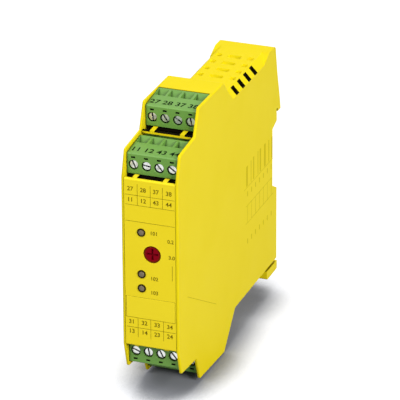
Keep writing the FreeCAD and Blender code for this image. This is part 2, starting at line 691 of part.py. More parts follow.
def front_plate():
    """Panel between the side walls, with two ribs that carry an apron under each front plug."""
    body = new_body("front_plate")
    add(body, "Y", ("-front_depth", PANEL_BACK),
        ("box", ("-" + PLATE_SIDE, "-plate_half - mid_drop"), (PLATE_SIDE, "plate_half - mid_drop")))
    soften(body, "plate_edge", lambda mid, way: abs(way.x) > 0.99 and near(mid.y, "-front_depth"))
    for sign in ("", "-"):
        low, high = "plate_half - apron_thick", "row_front_half - plug_below - part_lift"
        ends = (low, high) if not sign else ("-(%s)" % high, "-(%s)" % low)
        add(body, "Z", (ends[0] + " - mid_drop", ends[1] + " - mid_drop"),
            *[("box", ("%s - rib_width / 2" % x, "-(front_depth - rib_inset)"),
               ("%s + rib_width / 2" % x, face_of("upper_front") + " + plug_length"))
              for x in ("rib_offset", "-rib_offset")])
        ends = (low, "plate_half") if not sign else ("-plate_half", "-(%s)" % low)
        add(body, "Z", (ends[0] + " - mid_drop", ends[1] + " - mid_drop"),
            ("box", ("-" + PLATE_SIDE, "-apron_front"), (PLATE_SIDE, "-apron_back")))
    through = ("-(front_depth + 1)", PANEL_BACK + " + 0.1")
    cut(body, "Y", through, *rounds(LAMPS, "lamp_round + lamp_play"), ("round", DIAL, "dial_round + dial_play"))
    side = "(marker_half_width + marker_play)"
    cut(body, "Y", ("-(front_depth + 1)", "-(front_depth - marker_thick)"),
        ("box", ("-" + side, "marker_top - marker_height - marker_play - mid_drop"),
         (side, "marker_top + marker_play - mid_drop")))
    return keep(body)


def marker_plate():
    body = new_body("marker_plate")
    add(body, "Y", ("-front_depth", "-(front_depth - marker_thick)"),
        ("box", ("-marker_half_width", "marker_top - marker_height - mid_drop"),
         ("marker_half_width", "marker_top - mid_drop")))
    return keep(body)


def light_pipes():
    """Three clear pipes, each with a lens in the panel and a collar behind it."""
    body = new_body("light_pipes")
    collar_back = PANEL_BACK + " + lamp_collar"
    add(body, "Y", ("-(front_depth + lamp_proud)", collar_back), *rounds(LAMPS, "lamp_round"))
    add(body, "Y", (PANEL_BACK, collar_back), *rounds(LAMPS, "lamp_round + lamp_collar"))
    add(body, "Y", (collar_back, "-front_depth + pipe_length"), *rounds(LAMPS, "lamp_round - 2 * part_lift"))
    return keep(body)


def delay_dial():
    """Red dial with a cross slot and a stem that turns in the potentiometer."""
    body = new_body("delay_dial")
    face = "-(front_depth - dial_sink)"
    back = face + " + dial_thick"
    add(body, "Y", (face, back), ("round", DIAL, "dial_round"))
    add(body, "Y", (back, back + " + stem_length"), ("round", DIAL, "stem_round"))
    x, z = DIAL
    slot = (face + " - 1", face + " + dial_slot_depth")
    cut(body, "Y", slot, ("box", (x + " - dial_slot_width / 2", z + " - dial_slot_half"),
                          (x + " + dial_slot_width / 2", z + " + dial_slot_half")))
    cut(body, "Y", slot, ("box", (x + " - dial_slot_half", z + " - dial_slot_width / 2"),
                          (x + " + dial_slot_half", z + " + dial_slot_width / 2")))
    return keep(body)


# ---- control board and what it carries ---------------------------------------------------

BOARD_LEFT = "-(%s - board_gap)" % INNER_HALF
BOARD_RIGHT = "-(%s - board_gap - board_thick)" % INNER_HALF
ON_BOARD = BOARD_RIGHT + " + part_lift"
ROWS = {
    "upper_front": ("tip_depth", "row_front_half", 1),
    "upper_rear": ("peak_depth", "row_rear_half", 1),
    "lower_front": ("tip_depth", "row_front_half", -1),
    "lower_rear": ("peak_depth", "row_rear_half", -1),
}
POLES = int(size("pole_count"))
HEADER_FRONT = "(plug_length + header_gap)"
HEADER_END = "(plug_length + header_gap + tongue_length + 2 * tongue_play + header_back)"


def face_of(row):
    """Depth of a row's plug face, as a place along Y."""
    return "-(%s - face_inset)" % ROWS[row][0]


def axis_of(row):
    """Height of a row's screw axes."""
    deep, half, side = ROWS[row]
    return "%s - mid_drop" % half if side > 0 else "-%s - mid_drop" % half


def pole_x(pole):
    return "((%d - (pole_count - 1) / 2) * pole_pitch)" % pole


def leg_of(row, pole):
    """Where a pin passes into the board: two legs behind each other on each of two levels."""
    y = "%s + %s + pin_leg + %d * pin_pitch" % (face_of(row), HEADER_END, pole // 2)
    return y, "%s - %d * pin_jog" % (axis_of(row), pole % 2 * ROWS[row][2])


def square(centre, half):
    """A box loop about a centre."""
    u, v = centre
    return ("box", ("%s - %s" % (u, half), "%s - %s" % (v, half)), ("%s + %s" % (u, half), "%s + %s" % (v, half)))


def control_board():
    """Upright board along the left wall that carries the headers, relays and indicators."""
    body = new_body("control_board")
    header_back = face_of("upper_front") + " + " + HEADER_END + " + board_gap"
    rear_back = face_of("upper_rear") + " + " + HEADER_END + " + board_gap"
    above, below = mirrored([
        ("-board_front", "board_front_half"),
        (header_back, "board_front_half"),
        (header_back, "(shelf_low - board_gap)"),
        (rear_back, "(shelf_low - board_gap)"),
        (rear_back, "(row_rear_half + pin_side)"),
        ("-(ridge_depth - band_wall)", "(row_rear_half + pin_side)"),
    ])
    rear = "-(board_rear)"
    top = "%s - haunch_height - board_gap" % ROOF_INSIDE
    add(body, "X", (BOARD_LEFT, BOARD_RIGHT), ("outline", below + above + [
        ("-(roof_front + 1.5 * band_wall)", top), (rear, top),
        (rear, "-(floor_drop - band_wall - board_gap)"),
        ("-(valley_depth + band_wall / 2)", "-(floor_drop - band_wall - board_gap)")]))
    pins = [square(leg_of(row, pole), "(pin_side / 2 + hole_play)") for row in ROWS for pole in range(POLES)]
    cut(body, "X", (BOARD_LEFT + " - 1", BOARD_RIGHT + " + 1"),
        *pins, *rounds(boss_places(), "boss_stub + stub_play"))
    return keep(body)


def indicator_leds():
    """Three side-looking indicators in holders on the board, behind the light pipes."""
    body = new_body("indicator_leds")
    front = "-front_depth + pipe_length + part_lift"
    high = "lamp_pitch_play"
    add(body, "Y", (front, front + " + holder_length"),
        *[("box", (ON_BOARD, "%s - %s" % (z, high)), ("%s + %s" % (x, high), "%s + %s" % (z, high)))
          for x, z in LAMPS])
    return keep(body)


def potentiometer():
    """Delay potentiometer on the board, with a bush that takes the dial's stem."""
    body = new_body("potentiometer")
    x, z = DIAL
    stem_end = "-(front_depth - dial_sink) + dial_thick + stem_length"
    front = stem_end + " - pot_length / 2"
    add(body, "Y", (front, front + " + pot_length"),
        ("box", (ON_BOARD, z + " - pot_half"), (x + " + pot_reach", z + " + pot_half")))
    add(body, "Y", (front + " - bush_length", front + " + 1"), ("round", DIAL, "bush_round"))
    cut(body, "Y", (front + " - bush_length - 1", stem_end + " + part_lift"),
        ("round", DIAL, "stem_round + stem_play"))
    return keep(body)


def relays():
    """Force-guided relays in a column behind each other's contacts."""
    body = new_body("relays")
    blocks = []
    for index in range(int(size("relay_count"))):
        top = "relay_top - %d * relay_pitch" % index
        blocks.append(("box", ("-(relay_back + relay_length)", top + " - relay_height"), ("-relay_back", top)))
    add(body, "X", (ON_BOARD, ON_BOARD + " + relay_rise"), *blocks)
    return keep(body)


def storage_capacitors():
    """Two cans that hold the supply up while the delay runs."""
    body = new_body("storage_capacitors")
    places = [("-can_depth", "can_height - mid_drop"), ("-can_depth", "can_height - can_pitch - mid_drop")]
    add(body, "X", (ON_BOARD, ON_BOARD + " + can_length"), *rounds(places, "can_round"))
    return keep(body)


def controller_chips():
    """Two controllers, one for each channel."""
    body = new_body("controller_chips")
    half = "chip_side / 2"
    add(body, "X", (ON_BOARD, ON_BOARD + " + chip_thick"),
        *[("box", ("-chip_depth - " + half, z + " - " + half), ("-chip_depth + " + half, z + " + " + half))
          for z in ("chip_pitch / 2 - mid_drop - boss_round", "-chip_pitch / 2 - mid_drop - boss_round")])
    return keep(body)


def header(row):
    """Socket on the board that takes a plug's tongue."""
    body = new_body("header_" + row)
    outer = "(%s - plug_side_play)" % INNER_HALF
    inner = "(%s - plug_side_play - tongue_inset + tongue_play)" % INNER_HALF
    low, high = "-(tongue_below + tongue_play + header_wall)", "tongue_above + tongue_play + header_wall"
    add(body, "Y", (HEADER_FRONT, HEADER_END), ("box", ("-" + outer, low), (outer, high)))
    cut(body, "Y", (HEADER_FRONT + " - 1", HEADER_END + " - header_back"),
        ("box", ("-" + inner, "-(tongue_below + tongue_play)"), (inner, "tongue_above + tongue_play")))
    half = "(pin_side / 2 + pin_play)"
    cut(body, "Y", (HEADER_END + " - header_back - 1", HEADER_END + " + 1"),
        *[("box", (pole_x(k) + " - " + half, "-" + half), (pole_x(k) + " + " + half, half)) for k in range(POLES)])
    return keep(place(body, y=face_of(row), z=axis_of(row), turned=ROWS[row][2] < 0))


def header_pins():
    """Bent pins of all headers: straight into the plug, and across into the board."""
    groups = []
    for row in ROWS:
        body = new_body("pins_" + row)
        half = "pin_side / 2"
        for pole in range(POLES):
            x, (leg, level) = pole_x(pole), leg_of(row, pole)
            start, end = face_of(row) + " + pin_start", BOARD_LEFT + " - pin_through"
            add(body, "Y", (start, leg + " + " + half), square((x, axis_of(row)), half))
            if pole % 2:
                low, high = sorted((axis_of(row), level), key=size)
                add(body, "Z", ("%s - %s" % (low, half), "%s + %s" % (high, half)), square((x, leg), half))
            add(body, "X", (end, x + " + " + half), square((leg, level), half))
        groups.append(body)
    group = doc.addObject("Part::Compound", "header_pins")
    group.Links = groups
    doc.recompute()
    return keep(group, "header_pins")


# ---- pluggable terminals -----------------------------------------------------------------

CAGE_BACK = "(chamber_back - cage_back_gap)"
CAGE_FRONT = "(chamber_back - cage_back_gap - cage_length)"


def seat(piece, row, x="0"):
    """Puts a piece of a plug, drawn about its screw axis and face, into its row."""
    return place(piece, x=x, y=face_of(row), z=axis_of(row), turned=ROWS[row][2] < 0)


def plug(row):
    """Plug body with a clamp chamber, wire entry, driver hole and test slot for each pole."""
    body = new_body("plug_" + row)
    side = "(%s - plug_side_play)" % INNER_HALF
    add(body, "X", ("-" + side, side), ("outline", [
        ("0", "-plug_below"), ("plug_length", "-plug_below"), ("plug_length", "plug_above + plug_rise"),
        ("plug_lead", "plug_above"), ("0", "plug_above - plug_lead")]))
    tongue = "(%s - tongue_inset)" % side
    add(body, "Y", ("plug_length - 1", "plug_length + tongue_length"),
        ("box", ("-" + tongue, "-tongue_below"), (tongue, "tongue_above")))
    xs = [pole_x(pole) for pole in range(POLES)]
    cut(body, "Z", ("-chamber_below", "chamber_above"),
        *[("box", (x + " - chamber_half", "chamber_front"), (x + " + chamber_half", "chamber_back")) for x in xs])
    cut(body, "Y", ("chamber_back - 1", "plug_length + tongue_length + 1"),
        *[("box", (x + " - socket_half - socket_play", "-(socket_half + socket_play)"),
           (x + " + socket_half + socket_play", "socket_half + socket_play")) for x in xs])
    cut(body, "Y", ("-1", "screw_sink + head_length + part_lift"), *rounds([(x, "0") for x in xs], "head_round + head_play"))
    cut(body, "Y", ("screw_sink", "chamber_front + 1"), *rounds([(x, "0") for x in xs], "shank_round + head_play"))
    cut(body, "Y", ("-1", "probe_depth"),
        *[("box", (x + " - probe_half", "probe_low"), (x + " + probe_half", "probe_low + probe_height")) for x in xs])
    funnels(body, xs)
    return keep(seat(body, row))


def funnels(body, xs):
    """Wire entries, whose rear wall slopes down to the clamp."""
    top, low = "plug_above + plug_rise + 0.1", "chamber_above - 0.1"
    for x in xs:
        cut(body, "X", (x + " - funnel_half", x + " + funnel_half"), ("outline", [
            ("funnel_front", top), ("funnel_low_front", low), ("funnel_low_back", low), ("funnel_back", top)]))


def plug_contacts(row):
    """Tin-plated contacts of a plug: a strip through each cage and a socket for each pin."""
    body = new_body("plug_contacts_" + row)
    front = CAGE_FRONT + " + cage_nut + strip_gap"
    low = "-(chamber_below - strip_gap)"
    xs = [pole_x(pole) for pole in range(POLES)]

    def strips(start, end, half):
        return [("box", (x + " - " + half, start), (x + " + " + half, end)) for x in xs]

    add(body, "Z", (low, low + " + strip_thick"), *strips(front, "socket_start", "strip_half"))
    add(body, "Z", (low, "cage_above - strip_gap"), *strips(front, front + " + strip_thick", "strip_half"))
    add(body, "Z", (low, "socket_half"), *strips("socket_start - strip_thick", "socket_start", "strip_half"))
    add(body, "Y", ("socket_start - strip_thick", "socket_start + socket_length"),
        *[("box", (x + " - socket_half", "-socket_half"), (x + " + socket_half", "socket_half")) for x in xs])
    half = "(pin_side / 2 + socket_play)"
    cut(body, "Y", ("socket_start + strip_thick", "socket_start + socket_length + 1"),
        *[("box", (x + " - " + half, "-" + half), (x + " + " + half, half)) for x in xs])
    return keep(seat(body, row))


def clamp_screw(row, pole, turn):
    """Captive clamping screw with a slotted head, turned as it was last left."""
    body = new_body("screw_%s_%d" % (row, pole + 1))
    end = "screw_sink + head_length"
    add(body, "Y", ("screw_sink", end), ("round", ("0", "0"), "head_round"))
    add(body, "Y", (end, "shank_end"), ("round", ("0", "0"), "shank_round"))
    cut(body, "Y", ("screw_sink - 1", "screw_sink + driver_depth"),
        ("box", ("-driver_slot / 2", "-head_round - 1"), ("driver_slot / 2", "head_round + 1")))
    seat(body, row, pole_x(pole))
    body.Placement = Placement(body.Placement.Base, Rotation(Vector(0, 1, 0), turn))
    return keep(body)


def clamp_cage(row, pole):
    """Rising cage: a box open to the wire entry, with the thread in its front wall."""
    body = new_body("clamp_%s_%d" % (row, pole + 1))
    add(body, "Z", ("-cage_below", "cage_above"), ("box", ("-cage_half", CAGE_FRONT), ("cage_half", CAGE_BACK)))
    inner = "(cage_half - cage_wall)"
    cut(body, "Z", ("-cage_below - 1", "cage_above + 1"),
        ("box", ("-" + inner, CAGE_FRONT + " + cage_nut"), (inner, CAGE_BACK + " - cage_wall")))
    cut(body, "Y", (CAGE_FRONT + " - 1", CAGE_FRONT + " + cage_nut + part_lift"),
        ("round", ("0", "0"), "shank_round + thread_play"))
    return keep(seat(body, row, pole_x(pole)))


# ---- foot latch --------------------------------------------------------------------------

def foot_latch():
    """Slider in the rear channel: nose behind the rail, spring window, foot with a driver slot."""
    body = new_body("foot_latch")
    side = "(%s - latch_play)" % INNER_HALF
    stem_top = "-(rail_half + latch_play)"
    neck_top = "-(floor_drop + foot_gap)"
    sole_top = neck_top + " - foot_neck"
    stem_back = "-(latch_lip + latch_play)"
    add(body, "X", ("-" + side, side),
        ("box", (CHANNEL_FRONT + " + latch_play", neck_top), (stem_back, stem_top)))
    ledge = "-(rail_half + rail_play)"
    add(body, "X", ("-nose_half", "nose_half"), ("outline", [
        (stem_back + " - 1", stem_top), ("flange_slot", stem_top), ("flange_slot", ledge + " + catch_lift"),
        ("flange_slot + 0.4", ledge + " + catch_lift"), ("nose_reach", ledge),
        ("nose_reach", "%s - 2 * catch_lift" % ledge), (stem_back, "-nose_drop"), (stem_back + " - 1", "-nose_drop")]))
    neck = "(%s - foot_play)" % INNER_HALF
    add(body, "Z", (sole_top, neck_top),
        ("box", ("-" + neck, "-(foot_front - foot_neck / 2)"), (neck, "foot_back - foot_neck / 2")))
    sole = "(%s - foot_play)" % OUTER_HALF
    add(body, "Z", (sole_top + " - foot_height", sole_top), ("box", ("-" + sole, "-foot_front"), (sole, "foot_back")))
    soften(body, "latch_lip", lambda mid, way: abs(way.x) > 0.99 and near(mid.z, sole_top + " - foot_height"))
    cut(body, "Y", ("-(foot_front + 1)", "-(foot_front - pry_depth)"),
        ("box", ("-pry_half", sole_top + " - foot_height / 2 - pry_height / 2"),
         ("pry_half", sole_top + " - foot_height / 2 + pry_height / 2")))
    cut(body, "Y", (CHANNEL_FRONT, "0"), ("box", ("-window_half", "-window_end"), ("window_half", "-window_top")))
    return keep(body)


def latch_spring():
    """Compression spring between the housing's stud and the top of the latch's window."""
    wire, coil = size("spring_wire"), size("spring_coil")
    low = size("-stud_top + seat_gap + spring_wire")
    high = size("-window_top - seat_gap - spring_wire")
    turns = size("spring_turns")
    helix = Part.makeHelix((high - low) / turns, high - low, coil)
    ring = Part.Wire(Part.Circle(Vector(coil, 0, 0), Vector(0, 1, 0), wire).toShape())
    shape = Part.Wire(helix.Edges).makePipeShell([ring], True, True)
    spring = doc.addObject("Part::Feature", "latch_spring")
    spring.Shape = shape
    middle = size("-(latch_channel + latch_lip) / 2")
    spring.Placement = Placement(Vector(0, middle, low), Rotation())
    return keep(spring)


# ---- the whole relay ---------------------------------------------------------------------

VENT_ROWS = int((size("vent_first") - size("bevel_end") - size("vent_side_length")) / size("vent_pitch")) + 1
TURNS = {
    "upper_front": [-25, -82, -40, -55],
    "upper_rear": [-8, -35, -60, -12],
    "lower_front": [-70, -10, -28, -40],
    "lower_rear": [-50, -15, -75, -30],
}

housing_shell()
side_cover()
front_plate()
marker_plate()
light_pipes()
delay_dial()
control_board()
indicator_leds()
potentiometer()
relays()
storage_capacitors()
controller_chips()
header_pins()
for row in ROWS:
    header(row)
    plug(row)
    plug_contacts(row)
    for pole in range(POLES):
        clamp_screw(row, pole, TURNS[row][pole])
        clamp_cage(row, pole)
foot_latch()
latch_spring()
doc.recompute()

for item in doc.Objects:
    if {"Invalid", "Error"} & set(item.State):
        raise RuntimeError("%s failed: %s" % (item.Name, item.State))
for piece in SUBPARTS:
    if piece.Shape.isNull() or not piece.Shape.isValid():
        raise RuntimeError(piece.Label + " has no valid shape")

os.makedirs("parts", exist_ok=True)
for piece in SUBPARTS:
    piece.Shape.exportStep("parts/%s.step" % piece.Label)
    print("%-32s %2d solids %10.2f mm3" % (piece.Label, len(piece.Shape.Solids), piece.Shape.Volume))
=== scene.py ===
import math

import bmesh
import bpy
from mathutils import Matrix, Vector


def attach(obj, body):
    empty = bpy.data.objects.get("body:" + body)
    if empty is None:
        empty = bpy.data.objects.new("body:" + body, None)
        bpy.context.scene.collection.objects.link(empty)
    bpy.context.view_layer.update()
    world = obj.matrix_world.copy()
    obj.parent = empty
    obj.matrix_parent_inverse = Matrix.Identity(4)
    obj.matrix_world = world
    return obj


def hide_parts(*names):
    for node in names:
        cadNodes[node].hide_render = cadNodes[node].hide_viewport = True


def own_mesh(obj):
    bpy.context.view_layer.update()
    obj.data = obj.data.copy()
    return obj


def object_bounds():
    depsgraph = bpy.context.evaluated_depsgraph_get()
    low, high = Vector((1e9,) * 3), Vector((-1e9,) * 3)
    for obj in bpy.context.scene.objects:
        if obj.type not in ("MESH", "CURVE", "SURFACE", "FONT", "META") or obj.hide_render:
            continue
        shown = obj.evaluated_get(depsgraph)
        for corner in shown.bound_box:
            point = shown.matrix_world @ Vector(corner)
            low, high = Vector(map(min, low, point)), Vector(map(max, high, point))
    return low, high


mm = 0.001

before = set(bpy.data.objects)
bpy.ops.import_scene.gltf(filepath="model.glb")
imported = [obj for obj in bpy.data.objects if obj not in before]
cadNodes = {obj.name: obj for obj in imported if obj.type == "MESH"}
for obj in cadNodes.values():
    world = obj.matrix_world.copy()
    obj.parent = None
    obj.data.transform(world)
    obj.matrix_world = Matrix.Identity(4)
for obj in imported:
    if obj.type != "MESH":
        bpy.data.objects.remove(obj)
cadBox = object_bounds()
print("frame loaded:", len(cadNodes), "nodes")

# the four plug rows: face depth, screw axis height, and which way up the plug stands
rows = {
    "upper_front": {"face": -106.6, "axis": 35.2, "up": 1, "numbers": ("11", "12", "43", "44")},
    "upper_rear": {"face": -86.9, "axis": 46.45, "up": 1, "numbers": ("27", "28", "37", "38")},
    "lower_front": {"face": -106.6, "axis": -41.4, "up": -1, "numbers": ("31", "32", "33", "34")},
    "lower_rear": {"face": -86.9, "axis": -52.65, "up": -1, "numbers": ("13", "14", "23", "24")},
}
polePitch = 5.08
poleCount = 4
panelDepth = 110.0
middleDrop = 3.1  # the front's middle plane below the rail's centre
sideWall = 11.25


def poleX(pole):
    return (pole - (poleCount - 1) / 2) * polePitch


# camera, light and floor

view = {
    "azimuth": 20.466,
    "elevation": 24.424,
    "roll": -0.316,
    "distance": 1.5247,
    "lens": 356.92,
    "aim": (0.0, -0.050, -0.0013),
    "aimRight": -0.002316,
    "aimUp": -0.000619,
    "sensor": 36,
    "clip": (0.05, 60),
}


def placeCamera(s):
    a, e, r = (math.radians(s[k]) for k in ("azimuth", "elevation", "roll"))
    back = Vector((math.sin(a) * math.cos(e), -math.cos(a) * math.cos(e), math.sin(e)))
    right = Vector((math.cos(a), math.sin(a), 0))
    up = back.cross(right)
    target = Vector(s["aim"]) + right * s["aimRight"] + up * s["aimUp"]
    turnedRight = right * math.cos(r) + up * math.sin(r)
    turnedUp = up * math.cos(r) - right * math.sin(r)
    data = bpy.data.cameras.new("viewCamera")
    data.lens = s["lens"]
    data.sensor_width = s["sensor"]
    data.clip_start, data.clip_end = s["clip"]
    camera = bpy.data.objects.new("viewCamera", data)
    bpy.context.scene.collection.objects.link(camera)
    turn = Matrix((turnedRight, turnedUp, back)).transposed().to_4x4()
    camera.matrix_world = Matrix.Translation(target + back * s["distance"]) @ turn
    bpy.context.scene.camera = camera


placeCamera(view)

studio = {
    "roomStrength": 0.38,
    "roomColour": (0.95, 0.97, 1.0, 1.0),
    "floorHalf": 12.0,
    "floorLevel": cadBox[0][2] - 0.0001,
    "floorColour": (0.24, 0.245, 0.27, 1.0),
    "floorGlow": 0.90,
    # reach and span of the painted shadow faded into the floor's glow near the object
    "shadeReach": 0.024,
    "shadeSpan": (0.52, 0.93),
    "lamps": (
        # name, place, size, watts
        ("keyPanel", (-0.55, -1.00, 1.35), 0.9, 11.5),
        ("sidePanel", (1.25, -0.80, 0.80), 0.9, 26.0),
        ("topPanel", (-0.10, -0.15, 1.50), 0.8, 2.5),
        ("rearPanel", (-1.20, 0.75, 0.75), 0.9, 5.0),
    ),
}


def addLamp(name, place, size, watts):
    data = bpy.data.lights.new(name, "AREA")
    data.shape = "DISK"
    data.size = size
    data.energy = watts
    lamp = bpy.data.objects.new(name, data)
    bpy.context.scene.collection.objects.link(lamp)
    lamp.location = place
    lamp.rotation_euler = (Vector(place) - Vector(view["aim"])).to_track_quat("Z", "Y").to_euler()


for lamp in studio["lamps"]:
    addLamp(*lamp)

bpy.context.scene.view_settings.view_transform = "Standard"


def seenDirectly(tree):
    # one where the ray comes from the camera, a mirror or glass
    path = tree.nodes.new("ShaderNodeLightPath")
    first = tree.nodes.new("ShaderNodeMath")
    first.operation = "MAXIMUM"
    second = tree.nodes.new("ShaderNodeMath")
    second.operation = "MAXIMUM"
    tree.links.new(path.outputs["Is Camera Ray"], first.inputs[0])
    tree.links.new(path.outputs["Is Glossy Ray"], first.inputs[1])
    tree.links.new(first.outputs[0], second.inputs[0])
    tree.links.new(path.outputs["Is Transmission Ray"], second.inputs[1])
    return second.outputs[0]


def makeRoom(s):
    world = bpy.data.worlds.new("whiteRoom")
    world.use_nodes = True
    tree = world.node_tree
    back = tree.nodes["Background"]
    mix = tree.nodes.new("ShaderNodeMix")
    mix.data_type = "FLOAT"
    mix.inputs["A"].default_value = s["roomStrength"]
    mix.inputs["B"].default_value = 1.0
    tree.links.new(seenDirectly(tree), mix.inputs["Factor"])
    tree.links.new(mix.outputs["Result"], back.inputs["Strength"])
    tint = tree.nodes.new("ShaderNodeMix")
    tint.data_type = "RGBA"
    colours = [socket for socket in tint.inputs if socket.enabled]
    tree.links.new(seenDirectly(tree), colours[0])
    colours[1].default_value = s["roomColour"]
    colours[2].default_value = (1, 1, 1, 1)
    tree.links.new(next(socket for socket in tint.outputs if socket.enabled), back.inputs["Color"])
    bpy.context.scene.world = world


makeRoom(studio)


def makeFloor(s):
    mesh = bpy.data.meshes.new("floor")
    r, z = s["floorHalf"], s["floorLevel"]
    mesh.from_pydata([(-r, -r, z), (r, -r, z), (r, r, z), (-r, r, z)], [], [(0, 1, 2, 3)])
    floor = bpy.data.objects.new("floor", mesh)
    bpy.context.scene.collection.objects.link(floor)
    paint = bpy.data.materials.new("floorWhite")
    paint.use_nodes = True
    tree = paint.node_tree
    shader = tree.nodes["Principled BSDF"]
    shader.inputs["Base Color"].default_value = s["floorColour"]
    shader.inputs["Roughness"].default_value = 0.9
    shader.inputs["Specular IOR Level"].default_value = 0.0
    shader.inputs["Emission Color"].default_value = (1, 1, 1, 1)
    lift = tree.nodes.new("ShaderNodeMath")
    lift.operation = "MULTIPLY"
    lift.inputs[1].default_value = s["floorGlow"]
    # painted shadow: the floor's glow fades where ambient occlusion finds the object near, on top of the lamps'
    # real shadows
    near = tree.nodes.new("ShaderNodeAmbientOcclusion")
    near.inputs["Distance"].default_value = s["shadeReach"]
    near.samples = 16
    paintedShadow = tree.nodes.new("ShaderNodeMapRange")
    paintedShadow.interpolation_type = "SMOOTHSTEP"
    paintedShadow.inputs["From Min"].default_value, paintedShadow.inputs["From Max"].default_value = s["shadeSpan"]
    tree.links.new(near.outputs["AO"], paintedShadow.inputs["Value"])
    glow = tree.nodes.new("ShaderNodeMath")
    glow.operation = "MULTIPLY"
    tree.links.new(seenDirectly(tree), glow.inputs[0])
    tree.links.new(paintedShadow.outputs["Result"], glow.inputs[1])
    tree.links.new(glow.outputs[0], lift.inputs[0])
    tree.links.new(lift.outputs[0], shader.inputs["Emission Strength"])
    mesh.materials.append(paint)


makeFloor(studio)
print("camera, lamps and floor made")


# shared effects

def newGroup(name, inputs, outputs):
    group = bpy.data.node_groups.new(name, "ShaderNodeTree")
    for label, kind, value in inputs:
        socket = group.interface.new_socket(label, in_out="INPUT", socket_type=kind)
        socket.default_value = value
    for label, kind in outputs:
        group.interface.new_socket(label, in_out="OUTPUT", socket_type=kind)
    return group, group.nodes.new("NodeGroupInput"), group.nodes.new("NodeGroupOutput")


def join(tree, *pairs):
    for a, b in pairs:
        tree.links.new(a, b)


def mathNode(tree, operation, *values):
    node = tree.nodes.new("ShaderNodeMath")
    node.operation = operation
    for socket, value in zip(node.inputs, values):
        if hasattr(value, "is_output"):
            tree.links.new(value, socket)
        else:
            socket.default_value = value
    return node.outputs[0]


def noiseNode(tree, scale, detail, coordinate):
    node = tree.nodes.new("ShaderNodeTexNoise")
    node.inputs["Detail"].default_value = detail
    join(tree, (coordinate, node.inputs["Vector"]))
    if hasattr(scale, "is_output"):
        join(tree, (scale, node.inputs["Scale"]))
    else:
        node.inputs["Scale"].default_value = scale
    return node.outputs["Fac"]


def mixColour(tree, factor, a, b):
    node = tree.nodes.new("ShaderNodeMix")
    node.data_type = "RGBA"
    for name, value in (("Factor", factor), ("A", a), ("B", b)):
        socket = next(s for s in node.inputs if s.name == name and s.enabled)
        if hasattr(value, "is_output"):
            tree.links.new(value, socket)
        else:
            socket.default_value = value
    return next(s for s in node.outputs if s.enabled)


def buildMouldingWithPaintedShade():
    # eroded-steel grain, slow drift of the colour, thin flow lines, and painted shade: hollows and gaps turn
    # dark by ambient occlusion
    group, given, result = newGroup(
        "mouldingWithPaintedShade",
        [("Colour", "NodeSocketColor", (1, 1, 1, 1)), ("Deep Colour", "NodeSocketColor", (1, 1, 1, 1)),
         ("Grain Size", "NodeSocketFloat", 2600.0), ("Drift", "NodeSocketFloat", 0.5),
         ("Roughness", "NodeSocketFloat", 0.45), ("Gloss Change", "NodeSocketFloat", 0.1),
         ("Painted Shade Colour", "NodeSocketColor", (0, 0, 0, 1)), ("Painted Shade Reach", "NodeSocketFloat", 0.003),
         ("Painted Shade Low", "NodeSocketFloat", 0.3), ("Painted Shade High", "NodeSocketFloat", 0.75)],
        [("Colour", "NodeSocketColor"), ("Roughness", "NodeSocketFloat"), ("Height", "NodeSocketFloat")])
    place = group.nodes.new("ShaderNodeTexCoord").outputs["Object"]
    slow = noiseNode(group, 55.0, 3.0, place)
    grain = noiseNode(group, given.outputs["Grain Size"], 2.0, place)
    flow = group.nodes.new("ShaderNodeMapping")
    flow.inputs["Scale"].default_value = (900.0, 160.0, 120.0)
    join(group, (place, flow.inputs["Vector"]))
    lines = noiseNode(group, 1.0, 1.0, flow.outputs["Vector"])
    spread = mathNode(group, "MULTIPLY", mathNode(group, "SUBTRACT", slow, 0.42), 2.2)
    part = mathNode(group, "MULTIPLY", spread, given.outputs["Drift"])
    part.node.use_clamp = True
    # painted shade: where ambient occlusion finds the surface enclosed, the colour moves to the painted shade
    # colour
    open_ = group.nodes.new("ShaderNodeAmbientOcclusion")
    open_.samples = 12
    join(group, (given.outputs["Painted Shade Reach"], open_.inputs["Distance"]))
    lit = group.nodes.new("ShaderNodeMapRange")
    lit.interpolation_type = "SMOOTHSTEP"
    join(group, (open_.outputs["AO"], lit.inputs["Value"]),
         (given.outputs["Painted Shade Low"], lit.inputs["From Min"]),
         (given.outputs["Painted Shade High"], lit.inputs["From Max"]))
    outside = mixColour(group, part, given.outputs["Colour"], given.outputs["Deep Colour"])
    colour = mixColour(group, lit.outputs["Result"], given.outputs["Painted Shade Colour"], outside)
    change = mathNode(group, "MULTIPLY", mathNode(group, "SUBTRACT", slow, 0.5), given.outputs["Gloss Change"])
    rough = mathNode(group, "ADD", given.outputs["Roughness"], change)
    height = mathNode(group, "ADD", grain, mathNode(group, "MULTIPLY", lines, 0.35))
    join(group, (colour, result.inputs["Colour"]), (rough, result.inputs["Roughness"]),
         (height, result.inputs["Height"]))
    return group


